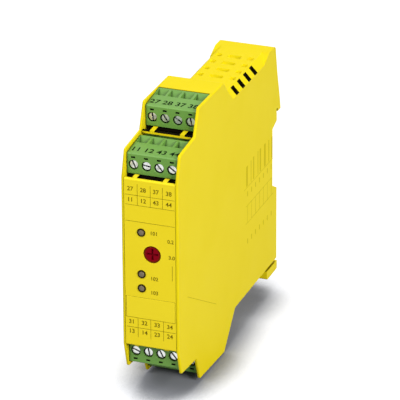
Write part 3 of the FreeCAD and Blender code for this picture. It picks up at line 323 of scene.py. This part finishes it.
def buildMetalBrush():
    # turned or rolled metal: fine streaks and a few dull spots
    group, given, result = newGroup(
        "workedMetal",
        [("Colour", "NodeSocketColor", (1, 1, 1, 1)), ("Dull Colour", "NodeSocketColor", (1, 1, 1, 1)),
         ("Streak Size", "NodeSocketFloat", 5000.0), ("Roughness", "NodeSocketFloat", 0.3)],
        [("Colour", "NodeSocketColor"), ("Roughness", "NodeSocketFloat"), ("Height", "NodeSocketFloat")])
    place = group.nodes.new("ShaderNodeTexCoord").outputs["Object"]
    stretch = group.nodes.new("ShaderNodeMapping")
    stretch.inputs["Scale"].default_value = (1.0, 0.12, 1.0)
    join(group, (place, stretch.inputs["Vector"]))
    streaks = noiseNode(group, given.outputs["Streak Size"], 2.0, stretch.outputs["Vector"])
    spots = noiseNode(group, 700.0, 2.0, place)
    ramp = group.nodes.new("ShaderNodeMapRange")
    ramp.inputs["From Min"].default_value = 0.50
    ramp.inputs["From Max"].default_value = 0.72
    join(group, (spots, ramp.inputs["Value"]))
    colour = mixColour(group, ramp.outputs["Result"], given.outputs["Colour"], given.outputs["Dull Colour"])
    dulled = mathNode(group, "MULTIPLY", ramp.outputs["Result"], 0.18)
    rough = mathNode(group, "ADD", given.outputs["Roughness"], dulled)
    join(group, (colour, result.inputs["Colour"]), (rough, result.inputs["Roughness"]),
         (streaks, result.inputs["Height"]))
    return group


mouldingWithPaintedShade = buildMouldingWithPaintedShade()
workedMetal = buildMetalBrush()


def written(r, g, b):
    # a colour as it is seen on a screen, 0 to 255, in the shader's linear values
    def linear(v):
        v /= 255
        return v / 12.92 if v <= 0.04045 else ((v + 0.055) / 1.055) ** 2.4
    return (linear(r), linear(g), linear(b), 1.0)


def surface(name, group, settings, bump, depth, fixed):
    paint = bpy.data.materials.new(name)
    paint.use_nodes = True
    tree = paint.node_tree
    shader = tree.nodes["Principled BSDF"]
    effect = tree.nodes.new("ShaderNodeGroup")
    effect.node_tree = group
    for key, value in settings.items():
        effect.inputs[key].default_value = value
    relief = tree.nodes.new("ShaderNodeBump")
    relief.inputs["Strength"].default_value = bump
    relief.inputs["Distance"].default_value = depth
    join(tree, (effect.outputs["Colour"], shader.inputs["Base Color"]),
         (effect.outputs["Roughness"], shader.inputs["Roughness"]),
         (effect.outputs["Height"], relief.inputs["Height"]),
         (relief.outputs["Normal"], shader.inputs["Normal"]))
    for key, value in fixed.items():
        shader.inputs[key].default_value = value
    return paint


def plastic(name, colour, deep, grain=2600.0, drift=0.5, roughness=0.45, gloss=0.1, bump=0.25, depth=0.00002,
            paintedShade=(12, 9, 2), paintedShadeReach=2.6, low=0.30, high=0.70, shine=0.03):
    # the painted shade in hollows and gaps is set by its colour, its reach, and the low and high ends of its
    # fade
    return surface(name, mouldingWithPaintedShade, {
        "Colour": written(*colour), "Deep Colour": written(*deep), "Grain Size": grain, "Drift": drift,
        "Roughness": roughness, "Gloss Change": gloss, "Painted Shade Colour": written(*paintedShade),
        "Painted Shade Reach": paintedShadeReach * mm, "Painted Shade Low": low, "Painted Shade High": high},
        bump, depth, {"Specular IOR Level": shine})


def metal(name, colour, dull, streaks=5000.0, roughness=0.3, bump=0.15, depth=0.00001):
    return surface(name, workedMetal, {
        "Colour": written(*colour), "Dull Colour": written(*dull), "Streak Size": streaks,
        "Roughness": roughness}, bump, depth, {"Metallic": 1.0})


yellowHousing = plastic("yellowHousing", (230, 208, 22), (225, 202, 18), roughness=0.44)
# the front plate's own finer grain, and a base brighter than the housing's yellow: painted light on the front
# face
yellowPanelPaintedLight = plastic("yellowPanelPaintedLight", (243, 219, 40), (238, 213, 34), grain=4200.0, roughness=0.40, bump=0.12,
                      paintedShade=(150, 128, 8))
yellowMarker = plastic("yellowMarker", (244, 221, 44), (239, 215, 38), grain=5200.0, roughness=0.5, bump=0.1)
yellowFoot = plastic("yellowFoot", (230, 208, 22), (225, 202, 18), roughness=0.44, paintedShade=(112, 94, 6))
# a brighter copy of the housing yellow, free of its painted shade: painted light on the walls of the roof's
# slots
slotPaintedLight = plastic("slotPaintedLight", (250, 230, 26), (246, 224, 22), roughness=0.5, low=0.0, high=0.02)
greenTerminal = plastic("greenTerminal", (106, 152, 66), (86, 136, 55), grain=3400.0, roughness=0.42, drift=0.8,
                        paintedShade=(4, 12, 4), paintedShadeReach=1.8, low=0.35, high=0.85, shine=0.3)
# dark brown round each lamp's dome: painted shade of the gap round the lens
lensGapShade = plastic("lensGapShade", (52, 42, 14), (44, 35, 12), roughness=0.4)
smokedLens = plastic("smokedLens", (112, 98, 74), (92, 78, 58), grain=1200.0, roughness=0.16, bump=0.05,
                     shine=0.5)
redDial = plastic("redDial", (136, 6, 24), (118, 5, 20), grain=3600.0, roughness=0.5, paintedShade=(124, 6, 20),
                  paintedShadeReach=1.0, low=0.2, high=0.6)
dialRim = plastic("dialRim", (112, 32, 8), (96, 26, 8), roughness=0.5)
printedInk = plastic("printedInk", (122, 106, 16), (108, 94, 14), grain=6000.0, roughness=0.6, bump=0.05)
faintInk = plastic("faintInk", (204, 182, 16), (198, 175, 14), grain=6000.0, roughness=0.6, bump=0.05)
# a darker yellow line: painted shade of a moulded step on the side wall
seamShade = plastic("seamShade", (186, 164, 8), (180, 158, 8), grain=6000.0, roughness=0.6, bump=0.05)
greenInk = plastic("greenInk", (10, 30, 8), (8, 24, 7), grain=6000.0, roughness=0.6, bump=0.05)
boardMask = plastic("boardMask", (16, 70, 38), (12, 58, 32), grain=1500.0, roughness=0.3, bump=0.2)
blackMoulding = plastic("blackMoulding", (24, 24, 26), (18, 18, 20), roughness=0.5)
# near-black painted shade for faces deep inside vents, on shelves and behind the panel
insideShade = plastic("insideShade", (16, 11, 3), (13, 9, 3), roughness=0.8, shine=0.05)
blueMoulding = plastic("blueMoulding", (30, 70, 136), (24, 58, 116), roughness=0.4)
platedSteel = metal("platedSteel", (222, 224, 222), (186, 188, 184), roughness=0.36)
tinnedBrass = metal("tinnedBrass", (204, 200, 188), (172, 166, 150), roughness=0.34)
springSteel = metal("springSteel", (170, 172, 176), (130, 132, 136), roughness=0.3)
drawnCan = metal("drawnCan", (196, 198, 202), (168, 170, 174), streaks=2400.0, roughness=0.32)
print("materials made")


# carrying the solids over, with the soft edges of a moulding

def linked(name, mesh, *paints):
    piece = bpy.data.objects.new(name, mesh)
    for paint in paints:
        mesh.materials.append(paint)
    bpy.context.scene.collection.objects.link(piece)
    return piece


def applied(piece):
    # the evaluated mesh takes the place of the modifiers
    bpy.context.view_layer.update()
    graph = bpy.context.evaluated_depsgraph_get()
    mesh = bpy.data.meshes.new_from_object(piece.evaluated_get(graph), depsgraph=graph)
    piece.modifiers.clear()
    piece.data = mesh
    return piece


def eased(node, body, paint, bevel, sharp=38, steps=2, shade=None):
    # shade tells which a face takes: its paint, the near-black of painted shade, or the brighter yellow of
    # painted light
    # a merged copy of a node's mesh, its flat faces joined and its edges rounded
    name = "eased_" + node
    mesh = cadNodes[node].data.copy()
    mesh.materials.clear()
    shape = bmesh.new()
    shape.from_mesh(mesh)
    bmesh.ops.remove_doubles(shape, verts=shape.verts, dist=2e-6)
    bmesh.ops.dissolve_limit(shape, angle_limit=math.radians(1.0), verts=shape.verts, edges=shape.edges)
    for face in shape.faces:
        face.smooth = True
        face.material_index = shade(face.calc_center_median() / mm, face.normal) if shade else 0
    shape.to_mesh(mesh)
    shape.free()
    piece = linked(name, mesh, paint, *([insideShade, slotPaintedLight] if shade else []))
    round_ = piece.modifiers.new("edges", "BEVEL")
    round_.width = bevel * mm
    round_.segments = steps
    round_.limit_method = "ANGLE"
    round_.angle_limit = math.radians(sharp)
    round_.use_clamp_overlap = True
    weight = piece.modifiers.new("normals", "WEIGHTED_NORMAL")
    weight.weight = 80
    weight.keep_sharp = True
    applied(piece)
    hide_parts(node)
    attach(piece, body)
    return piece


aprons = {"from": -107.5, "past": 32.0, "ribPlace": 6.0, "ribHalf": 0.85}
shelves = {"low": 44.6, "high": 45.5, "front": -91.0, "back": -75.0}
vents = {
    "first": -46.3, "pitch": 6.9, "slack": 0.02, "deepest": 39.3,
    "sideLength": 3.0, "sideSpan": (8.7, 11.24), "sideRows": range(4),
    "topLength": 2.6, "topSpan": (-1.0, 8.0), "topRows": range(1, 5),
}


def behindPanel(middle, normal):
    # the aprons' fronts, deep between panel and plug, apart from the ribs, take the painted shade
    offRib = abs(abs(middle.x) - aprons["ribPlace"]) > aprons["ribHalf"]
    return int(middle.y > aprons["from"] and abs(middle.z + middleDrop) > aprons["past"] and offRib)


def inVents(middle, span, length, rowNumbers):
    fronts = [vents["first"] + vents["pitch"] * k for k in rowNumbers]
    along = any(f - vents["slack"] < middle.y < f + length + vents["slack"] for f in fronts)
    return middle.z > vents["deepest"] and along and span[0] < abs(middle.x) < span[1]


def shellShade(middle, normal):
    # painted shade on the walls in the bevels' vents and on the shelves behind the plugs, painted light on the
    # walls in the roof's slots
    square = max(abs(c) for c in normal) > 0.95
    if square and inVents(middle, vents["sideSpan"], vents["sideLength"], vents["sideRows"]):
        return 1
    upright = square and abs(normal.z) < 0.5
    if upright and inVents(middle, vents["topSpan"], vents["topLength"], vents["topRows"]):
        return 2
    onShelf = shelves["low"] < abs(middle.z + middleDrop) < shelves["high"]
    return int(onShelf and shelves["front"] < middle.y < shelves["back"])


eased("housing_shell", "housing", yellowHousing, 0.22, shade=shellShade)
eased("side_cover", "housing", yellowHousing, 0.22, shade=shellShade)
eased("front_plate", "housing", yellowPanelPaintedLight, 0.08, shade=behindPanel)
eased("marker_plate", "housing", yellowMarker, 0.12)
eased("foot_latch", "latch", yellowFoot, 0.25)
for row in rows:
    eased("plug_" + row, "plug_" + row, greenTerminal, 0.14)
    eased("header_" + row, "housing", greenTerminal, 0.12)
    for pole in range(1, poleCount + 1):
        eased("clamp_%s_%d" % (row, pole), "clamp_%s_%d" % (row, pole), platedSteel, 0.08)
print("eased the moulded and stamped pieces")


def painted(node, paint):
    mesh = cadNodes[node].data
    mesh.materials.clear()
    mesh.materials.append(paint)


# the light pipes' face round each dome takes the painted shade of the lens gap
painted("light_pipes", lensGapShade)
painted("delay_dial", redDial)
painted("control_board", boardMask)
painted("indicator_leds", blackMoulding)
painted("potentiometer", blueMoulding)
painted("relays", blackMoulding)
painted("storage_capacitors", drawnCan)
painted("controller_chips", blackMoulding)
painted("header_pins", tinnedBrass)
for row in rows:
    painted("plug_contacts_" + row, tinnedBrass)


# repeated metal and trim pieces, made by geometry nodes

def newTree(name, inputs):
    tree = bpy.data.node_groups.new(name, "GeometryNodeTree")
    tree.interface.new_socket("Geometry", in_out="OUTPUT", socket_type="NodeSocketGeometry")
    for label, kind, value in inputs:
        socket = tree.interface.new_socket(label, in_out="INPUT", socket_type=kind)
        if value is not None:
            socket.default_value = value
    return tree, tree.nodes.new("NodeGroupInput"), tree.nodes.new("NodeGroupOutput")


def node(tree, kind, settings=None, **links):
    # one node; settings are its own fields, links its sockets by name, with _ for a space
    prefix = "GeometryNode" if hasattr(bpy.types, "GeometryNode" + kind) else "ShaderNode"
    made = tree.nodes.new(prefix + kind)
    for key, value in (settings or {}).items():
        setattr(made, key, value)
    for key, value in links.items():
        wanted = key.replace("_", " ")
        socket = next(s for s in made.inputs if s.name == wanted and s.enabled)
        for part in value if isinstance(value, list) else [value]:
            if hasattr(part, "is_output"):
                tree.links.new(part, socket)
            else:
                socket.default_value = part
    return made


def out(made, name=None):
    return made.outputs[name] if name else next(s for s in made.outputs if s.enabled)


def vector(tree, x=0.0, y=0.0, z=0.0):
    made = tree.nodes.new("ShaderNodeCombineXYZ")
    for socket, value in zip(made.inputs, (x, y, z)):
        if hasattr(value, "is_output"):
            tree.links.new(value, socket)
        else:
            socket.default_value = value
    return made.outputs[0]


def finishTree(tree, given, result, geometry):
    real = node(tree, "RealizeInstances", Geometry=geometry)
    paint = node(tree, "SetMaterial", Geometry=out(real), Material=given.outputs["Paint"])
    tree.links.new(out(paint), result.inputs[0])


def grown(name, tree, values, placement=None):
    # runs a tree with its named inputs set and keeps the mesh it makes
    holder = bpy.data.objects.new(name, bpy.data.meshes.new(name))
    bpy.context.scene.collection.objects.link(holder)
    modifier = holder.modifiers.new("grown", "NODES")
    modifier.node_group = tree
    for item in tree.interface.items_tree:
        if item.in_out == "INPUT" and item.name in values:
            modifier[item.identifier] = values[item.name]
    bpy.context.view_layer.update()
    graph = bpy.context.evaluated_depsgraph_get()
    mesh = bpy.data.meshes.new_from_object(holder.evaluated_get(graph), depsgraph=graph)
    holder.modifiers.clear()
    holder.data = mesh
    if placement is not None:
        mesh.transform(placement)
    mesh.set_sharp_from_angle(angle=math.radians(35))
    return holder


def buildScrewTree():
    tree, given, result = newTree("slottedScrew", [
        ("Head Radius", "NodeSocketFloat", 0.00175), ("Head Length", "NodeSocketFloat", 0.0017),
        ("Head Chamfer", "NodeSocketFloat", 0.00022), ("Slot Width", "NodeSocketFloat", 0.0006),
        ("Slot Depth", "NodeSocketFloat", 0.0007), ("Shank Radius", "NodeSocketFloat", 0.0011),
        ("Shank Length", "NodeSocketFloat", 0.0062), ("Thread Pitch", "NodeSocketFloat", 0.00045),
        ("Thread Height", "NodeSocketFloat", 0.00015), ("Paint", "NodeSocketMaterial", None)])
    g = given.outputs
    headLow = mathNode(tree, "MULTIPLY", g["Head Length"], -1.0)
    barrelDepth = mathNode(tree, "SUBTRACT", g["Head Length"], g["Head Chamfer"])
    crownTop = mathNode(tree, "SUBTRACT", g["Head Radius"], g["Head Chamfer"])
    crown = node(tree, "MeshCone", Vertices=40, Radius_Top=crownTop, Radius_Bottom=g["Head Radius"],
                 Depth=g["Head Chamfer"])
    crown = node(tree, "Transform", Geometry=out(crown, "Mesh"),
                 Translation=vector(tree, z=mathNode(tree, "MULTIPLY", g["Head Chamfer"], -1.0)))
    barrel = node(tree, "MeshCylinder", Vertices=40, Radius=g["Head Radius"], Depth=barrelDepth)
    barrelMiddle = mathNode(tree, "ADD", headLow, mathNode(tree, "MULTIPLY", barrelDepth, 0.5))
    barrel = node(tree, "Transform", Geometry=out(barrel, "Mesh"), Translation=vector(tree, z=barrelMiddle))
    shank = node(tree, "MeshCylinder", Vertices=24, Radius=g["Shank Radius"], Depth=g["Shank Length"])
    shankMiddle = mathNode(tree, "SUBTRACT", headLow, mathNode(tree, "MULTIPLY", g["Shank Length"], 0.5))
    shank = node(tree, "Transform", Geometry=out(shank, "Mesh"), Translation=vector(tree, z=shankMiddle))
    whole = node(tree, "MeshBoolean", {"operation": "UNION"})
    for part in (crown, barrel, shank):
        tree.links.new(out(part), whole.inputs[1])
    across = mathNode(tree, "MULTIPLY", g["Head Radius"], 2.4)
    slotTall = mathNode(tree, "MULTIPLY", g["Slot Depth"], 2.0)
    slot = node(tree, "MeshCube", Size=vector(tree, g["Slot Width"], across, slotTall))
    cut = node(tree, "MeshBoolean", {"operation": "DIFFERENCE"}, Mesh_1=out(whole, "Mesh"),
               Mesh_2=out(slot, "Mesh"))
    turns = mathNode(tree, "DIVIDE", mathNode(tree, "MULTIPLY", g["Shank Length"], 0.86), g["Thread Pitch"])
    helix = node(tree, "CurveSpiral", Resolution=18, Rotations=turns, Start_Radius=g["Shank Radius"],
                 End_Radius=g["Shank Radius"], Height=mathNode(tree, "MULTIPLY", g["Shank Length"], 0.86))
    helixLow = mathNode(tree, "SUBTRACT", headLow, mathNode(tree, "MULTIPLY", g["Shank Length"], 0.97))
    helix = node(tree, "Transform", Geometry=out(helix), Translation=vector(tree, z=helixLow))
    ridge = node(tree, "CurvePrimitiveCircle", Resolution=4, Radius=g["Thread Height"])
    thread = node(tree, "CurveToMesh", Curve=out(helix), Profile_Curve=out(ridge, "Curve"), Fill_Caps=True)
    both = node(tree, "JoinGeometry", Geometry=[out(cut, "Mesh"), out(thread)])
    finishTree(tree, given, result, out(both))
    return tree


screwTree = buildScrewTree()
screws = {
    "sink": 0.9,
    "sizes": {"Head Radius": 1.75, "Head Length": 1.7, "Head Chamfer": 0.24, "Slot Width": 0.62,
              "Slot Depth": 0.75, "Shank Radius": 1.10, "Shank Length": 6.2, "Thread Pitch": 0.45,
              "Thread Height": 0.14},
    # how far each slot stands from upright, seen from the front
    "turns": {"upper_front": (-25, -82, -40, -55), "upper_rear": (-8, -35, -60, -12),
              "lower_front": (-70, -10, -28, -40), "lower_rear": (-50, -15, -75, -30)},
}


def makeScrews(s):
    values = {key: value * mm for key, value in s["sizes"].items()}
    values["Paint"] = platedSteel
    for row, r in rows.items():
        for pole in range(poleCount):
            where = (Matrix.Translation((poleX(pole) * mm, (r["face"] + s["sink"]) * mm, r["axis"] * mm))
                     @ Matrix.Rotation(math.radians(s["turns"][row][pole]), 4, "Y")
                     @ Matrix.Rotation(math.radians(90), 4, "X"))
            name = "screw_%s_%d" % (row, pole + 1)
            screw = grown("slotted_" + name, screwTree, values, where)
            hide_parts(name)
            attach(screw, name)


makeScrews(screws)
print("screws made")


def buildLampTree():
    tree, given, result = newTree("lampDomes", [
        ("First Lamp", "NodeSocketVector", (0.0, 0.0, 0.0)), ("Second Step", "NodeSocketFloat", 0.0171),
        ("Third Step", "NodeSocketFloat", 0.0229), ("Dome Radius", "NodeSocketFloat", 0.0011),
        ("Crown", "NodeSocketFloat", 0.0004), ("Paint", "NodeSocketMaterial", None)])
    g = given.outputs
    ball = node(tree, "MeshUVSphere", Segments=28, Rings=14, Radius=g["Dome Radius"])
    flat = node(tree, "Transform", Geometry=out(ball, "Mesh"),
                Scale=vector(tree, 1.0, mathNode(tree, "DIVIDE", g["Crown"], g["Dome Radius"]), 1.0))
    smooth = node(tree, "SetShadeSmooth", Geometry=out(flat))
    domes = []
    for step in (None, g["Second Step"], g["Third Step"]):
        drop = vector(tree, z=mathNode(tree, "MULTIPLY", step, -1.0)) if step else vector(tree)
        at = node(tree, "VectorMath", {"operation": "ADD"})
        tree.links.new(g["First Lamp"], at.inputs[0])
        tree.links.new(drop, at.inputs[1])
        domes.append(out(node(tree, "Transform", Geometry=out(smooth), Translation=at.outputs[0])))
    finishTree(tree, given, result, out(node(tree, "JoinGeometry", Geometry=domes)))
    return tree


domes = {"first": (-3.4, -110.2, 9.9), "Second Step": 17.1, "Third Step": 22.9, "Dome Radius": 1.08,
         "Crown": 0.38}


def makeLampDomes(s):
    values = {key: s[key] * mm for key in ("Second Step", "Third Step", "Dome Radius", "Crown")}
    values["First Lamp"] = [c * mm for c in s["first"]]
    values["Paint"] = smokedLens
    piece = grown("lampDomes", buildLampTree(), values)
    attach(piece, "housing")


makeLampDomes(domes)
print("lamp domes made")


def buildSpringTree():
    tree, given, result = newTree("coilSpring", [
        ("Coil Radius", "NodeSocketFloat", 0.00145), ("Wire Radius", "NodeSocketFloat", 0.00025),
        ("Height", "NodeSocketFloat", 0.010), ("Turns", "NodeSocketFloat", 6.0),
        ("Paint", "NodeSocketMaterial", None)])
    g = given.outputs
    coil = node(tree, "CurveSpiral", Resolution=28, Rotations=g["Turns"], Start_Radius=g["Coil Radius"],
                End_Radius=g["Coil Radius"], Height=g["Height"])
    wire = node(tree, "CurvePrimitiveCircle", Resolution=10, Radius=g["Wire Radius"])
    swept = node(tree, "CurveToMesh", Curve=out(coil), Profile_Curve=out(wire, "Curve"), Fill_Caps=True)
    smooth = node(tree, "SetShadeSmooth", Geometry=out(swept))
    finishTree(tree, given, result, out(smooth))
    return tree


spring = {
    "foot": (0.0, -2.85, -36.3),
    "sizes": {"Coil Radius": 1.45, "Wire Radius": 0.25, "Height": 10.0},
    "turns": 6.0,
    "keep": 0.57,
}


def makeSpring(s):
    values = {key: value * mm for key, value in s["sizes"].items()}
    values["Turns"] = s["turns"]
    values["Paint"] = springSteel
    where = Matrix.Translation([c * mm for c in s["foot"]])
    piece = grown("coil_latch_spring", buildSpringTree(), values, where)
    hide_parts("latch_spring")
    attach(piece, "housing")
    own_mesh(piece)


makeSpring(spring)
print("latch spring made")


# printing

inkLayer = {"height": 0.03}


def lettersMesh(text, height, stretch=1.0, weight=0.0):
    # flat figures about their middle, made a mesh with a little thickness
    curve = bpy.data.curves.new("figures", "FONT")
    curve.body = text
    curve.size = height * mm / 0.72
    curve.offset = weight * mm
    curve.align_x = "CENTER"
    curve.align_y = "CENTER"
    curve.extrude = inkLayer["height"] * mm
    curve.resolution_u = 4
    holder = bpy.data.objects.new("figures", curve)
    bpy.context.scene.collection.objects.link(holder)
    bpy.context.view_layer.update()
    graph = bpy.context.evaluated_depsgraph_get()
    mesh = bpy.data.meshes.new_from_object(holder.evaluated_get(graph))
    bpy.data.objects.remove(holder)
    mesh.transform(Matrix.Diagonal((stretch, 1, 1, 1)))
    return mesh


def printedPiece(name, body, paint, texts, strokes):
    # texts: figures, height, stretch, weight and placement; strokes: corners of thin plates and placement
    shape = bmesh.new()
    for text, height, stretch, weight, placement in texts:
        mesh = lettersMesh(text, height, stretch, weight)
        mesh.transform(placement)
        shape.from_mesh(mesh)
        bpy.data.meshes.remove(mesh)
    for low, high, placement in strokes:
        size = [(b - a) * mm for a, b in zip(low, high)] + [2 * inkLayer["height"] * mm]
        middle = [(a + b) / 2 * mm for a, b in zip(low, high)] + [0]
        where = placement @ Matrix.Translation(middle) @ Matrix.Diagonal((*size, 1))
        bmesh.ops.create_cube(shape, size=1, matrix=where)
    bmesh.ops.remove_doubles(shape, verts=shape.verts, dist=1e-7)
    bmesh.ops.recalc_face_normals(shape, faces=shape.faces)
    mesh = bpy.data.meshes.new(name)
    shape.to_mesh(mesh)
    shape.free()
    piece = linked(name, mesh, paint)
    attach(piece, body)
    return piece


def onPanel(x, z, turn=0):
    # lies on the panel's face; z counts from the panel's middle plane
    return (Matrix.Translation((x * mm, -panelDepth * mm, (z - middleDrop) * mm))
            @ Matrix.Rotation(math.radians(90), 4, "X") @ Matrix.Rotation(math.radians(turn), 4, "Z"))


panelPrint = {
    "line": 0.13,
    "span": (-9.6, 9.9),
    "upperRules": (27.8, 23.8, 17.15),
    "upperDividers": (-4.8, 0.35, 5.15),
    "upperTop": 32.4,
    "upperNumbers": ((30.2, ("27", "28", "37", "38")), (25.8, ("11", "12", "43", "44"))),
    "lowerRule": -26.6,
    "lowerDividers": (-5.1, 0.0, 5.1),
    "lowerSpan": (-30.6, -22.6),
    "lowerNumbers": ((-24.4, ("31", "32", "33", "34")), (-28.4, ("13", "14", "23", "24"))),
    "figure": 1.75,
    "smallFigure": 1.5,
    "weight": 0.035,
    "lampNumbers": ((1.6, 13.2, "101"), (1.6, -5.4, "102"), (1.6, -11.2, "103")),
    "scale": ((8.2, 10.8, "0.2"), (8.6, 4.3, "3.0")),
    "scaleRule": (8.8, -5.1, 1.0),  # place across, foot and top
}


def printPanel(s):
    flat = onPanel(0, 0)
    half = s["line"] / 2
    texts, strokes = [], []
    for z, figures in s["upperNumbers"] + s["lowerNumbers"]:
        for pole, figure in enumerate(figures):
            texts.append((figure, s["figure"], 1.0, s["weight"], onPanel(poleX(pole), z)))
    for x, z, figure in s["lampNumbers"] + s["scale"]:
        texts.append((figure, s["smallFigure"], 1.0, s["weight"], onPanel(x, z)))
    for z in s["upperRules"] + (s["lowerRule"],):
        strokes.append(((s["span"][0], z - half), (s["span"][1], z + half), flat))
    for x in s["upperDividers"]:
        strokes.append(((x - half, s["upperRules"][1]), (x + half, s["upperTop"]), flat))
    for x in s["lowerDividers"]:
        strokes.append(((x - half, s["lowerSpan"][0]), (x + half, s["lowerSpan"][1]), flat))
    x, foot, top = s["scaleRule"]
    strokes.append(((x - half, foot), (x + half, top), flat))
    printedPiece("panelPrint", "housing", printedInk, texts, strokes)


printPanel(panelPrint)

plugPrint = {"figure": 2.9, "stretch": 1.0, "weight": 0.06, "back": 3.2, "rise": 5.48, "top": 4.85,
             "edge": 0.45}


def printPlug(row, s):
    r = rows[row]
    texts = []
    for pole, figure in enumerate(r["numbers"]):
        z = r["axis"] + r["up"] * (s["top"] + math.tan(math.radians(s["rise"])) * (s["back"] - s["edge"]))
        placement = Matrix.Translation((poleX(pole) * mm, (r["face"] + s["back"]) * mm, z * mm))
        if r["up"] > 0:
            placement = placement @ Matrix.Rotation(math.radians(s["rise"]), 4, "X")
        else:
            placement = (placement @ Matrix.Rotation(math.radians(180 - s["rise"]), 4, "X")
                         @ Matrix.Rotation(math.radians(180), 4, "Z"))
        texts.append((figure, s["figure"], s["stretch"], s["weight"], placement))
    printedPiece("numbers_" + row, "plug_" + row, greenInk, texts, [])


for row in rows:
    printPlug(row, plugPrint)
print("printed the panel and the plugs")


sidePrint = {
    "line": 0.16,
    "barFoot": -1.0,
    # place from front to back, width and height of each upright bar
    "bars": ((-34.6, 1.6, 8.4), (-30.0, 0.5, 9.0), (-27.0, 1.0, 9.4), (-22.0, 0.5, 9.6), (-19.2, 1.2, 9.6),
             (-14.0, 1.6, 9.4), (-9.4, 0.6, 9.2), (-5.6, 1.2, 9.0)),
    "rules": ((-38.0, -3.0, -1.6), (-36.0, -6.0, -9.4), (-36.0, -4.0, -16.8)),
    "drops": (-34.0, -29.4, -24.8, -20.2, -15.6, -11.0, -6.4),
    "dropSpan": (-16.8, -9.4),
    "marks": (-34.0, -29.4, -24.8, -20.2, -15.6, -11.0, -6.4),
    "markSize": (1.3, 2.0),
    "markLevels": (-4.4, -24.6),
    # the seam is no print: a painted shade line along a moulded step
    "seam": (-100.6, -18.5, -69.7, -35.6),
}


def onSide(y, z, turn=0):
    # lies on the right wall, figures running from front to back
    return (Matrix.Translation((sideWall * mm, y * mm, z * mm)) @ Matrix.Rotation(math.radians(90), 4, "Z")
            @ Matrix.Rotation(math.radians(90), 4, "X") @ Matrix.Rotation(math.radians(turn), 4, "Z"))


def printSide(s):
    flat, half = onSide(0, 0), s["line"] / 2
    strokes = [((y - w / 2, s["barFoot"]), (y + w / 2, s["barFoot"] + h), flat) for y, w, h in s["bars"]]
    strokes += [((a, z - half), (b, z + half), flat) for a, b, z in s["rules"]]
    strokes += [((y - half, s["dropSpan"][0]), (y + half, s["dropSpan"][1]), flat) for y in s["drops"]]
    for z in s["markLevels"]:
        w, h = (c / 2 for c in s["markSize"])
        strokes += [((y - w / 2, z - h), (y + w / 2, z + h), flat) for y in s["marks"]]
    printedPiece("sidePrint", "housing", faintInk, [], strokes)
    y0, z0, y1, z1 = s["seam"]
    length, turn = math.hypot(y1 - y0, z1 - z0), math.degrees(math.atan2(z1 - z0, y1 - y0))
    # painted shade along a moulded step, laid like a strip of print
    printedPiece("sideSeam", "housing", seamShade, [],
                 [((0, -half), (length, half), onSide(y0, z0, turn))])


printSide(sidePrint)


dialTrim = {"centre": (0.8, -109.72, 1.4), "outer": 3.3, "inner": 2.75, "steps": 64}


def makeDialRim(s):
    # a brown ring round the dial's face
    mesh = bpy.data.meshes.new("dialTrim")
    x, y, z = s["centre"]
    places, faces, count = [], [], s["steps"]
    for k in range(count):
        a = 2 * math.pi * k / count
        places += [((x + r * math.cos(a)) * mm, y * mm, (z + r * math.sin(a)) * mm)
                   for r in (s["outer"], s["inner"])]
        n = (k + 1) % count
        faces.append((2 * k, 2 * k + 1, 2 * n + 1, 2 * n))
    mesh.from_pydata(places, [], faces)
    piece = linked("dialTrim", mesh, dialRim)
    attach(piece, "dial")


makeDialRim(dialTrim)
print("side wall print and dial trim made")
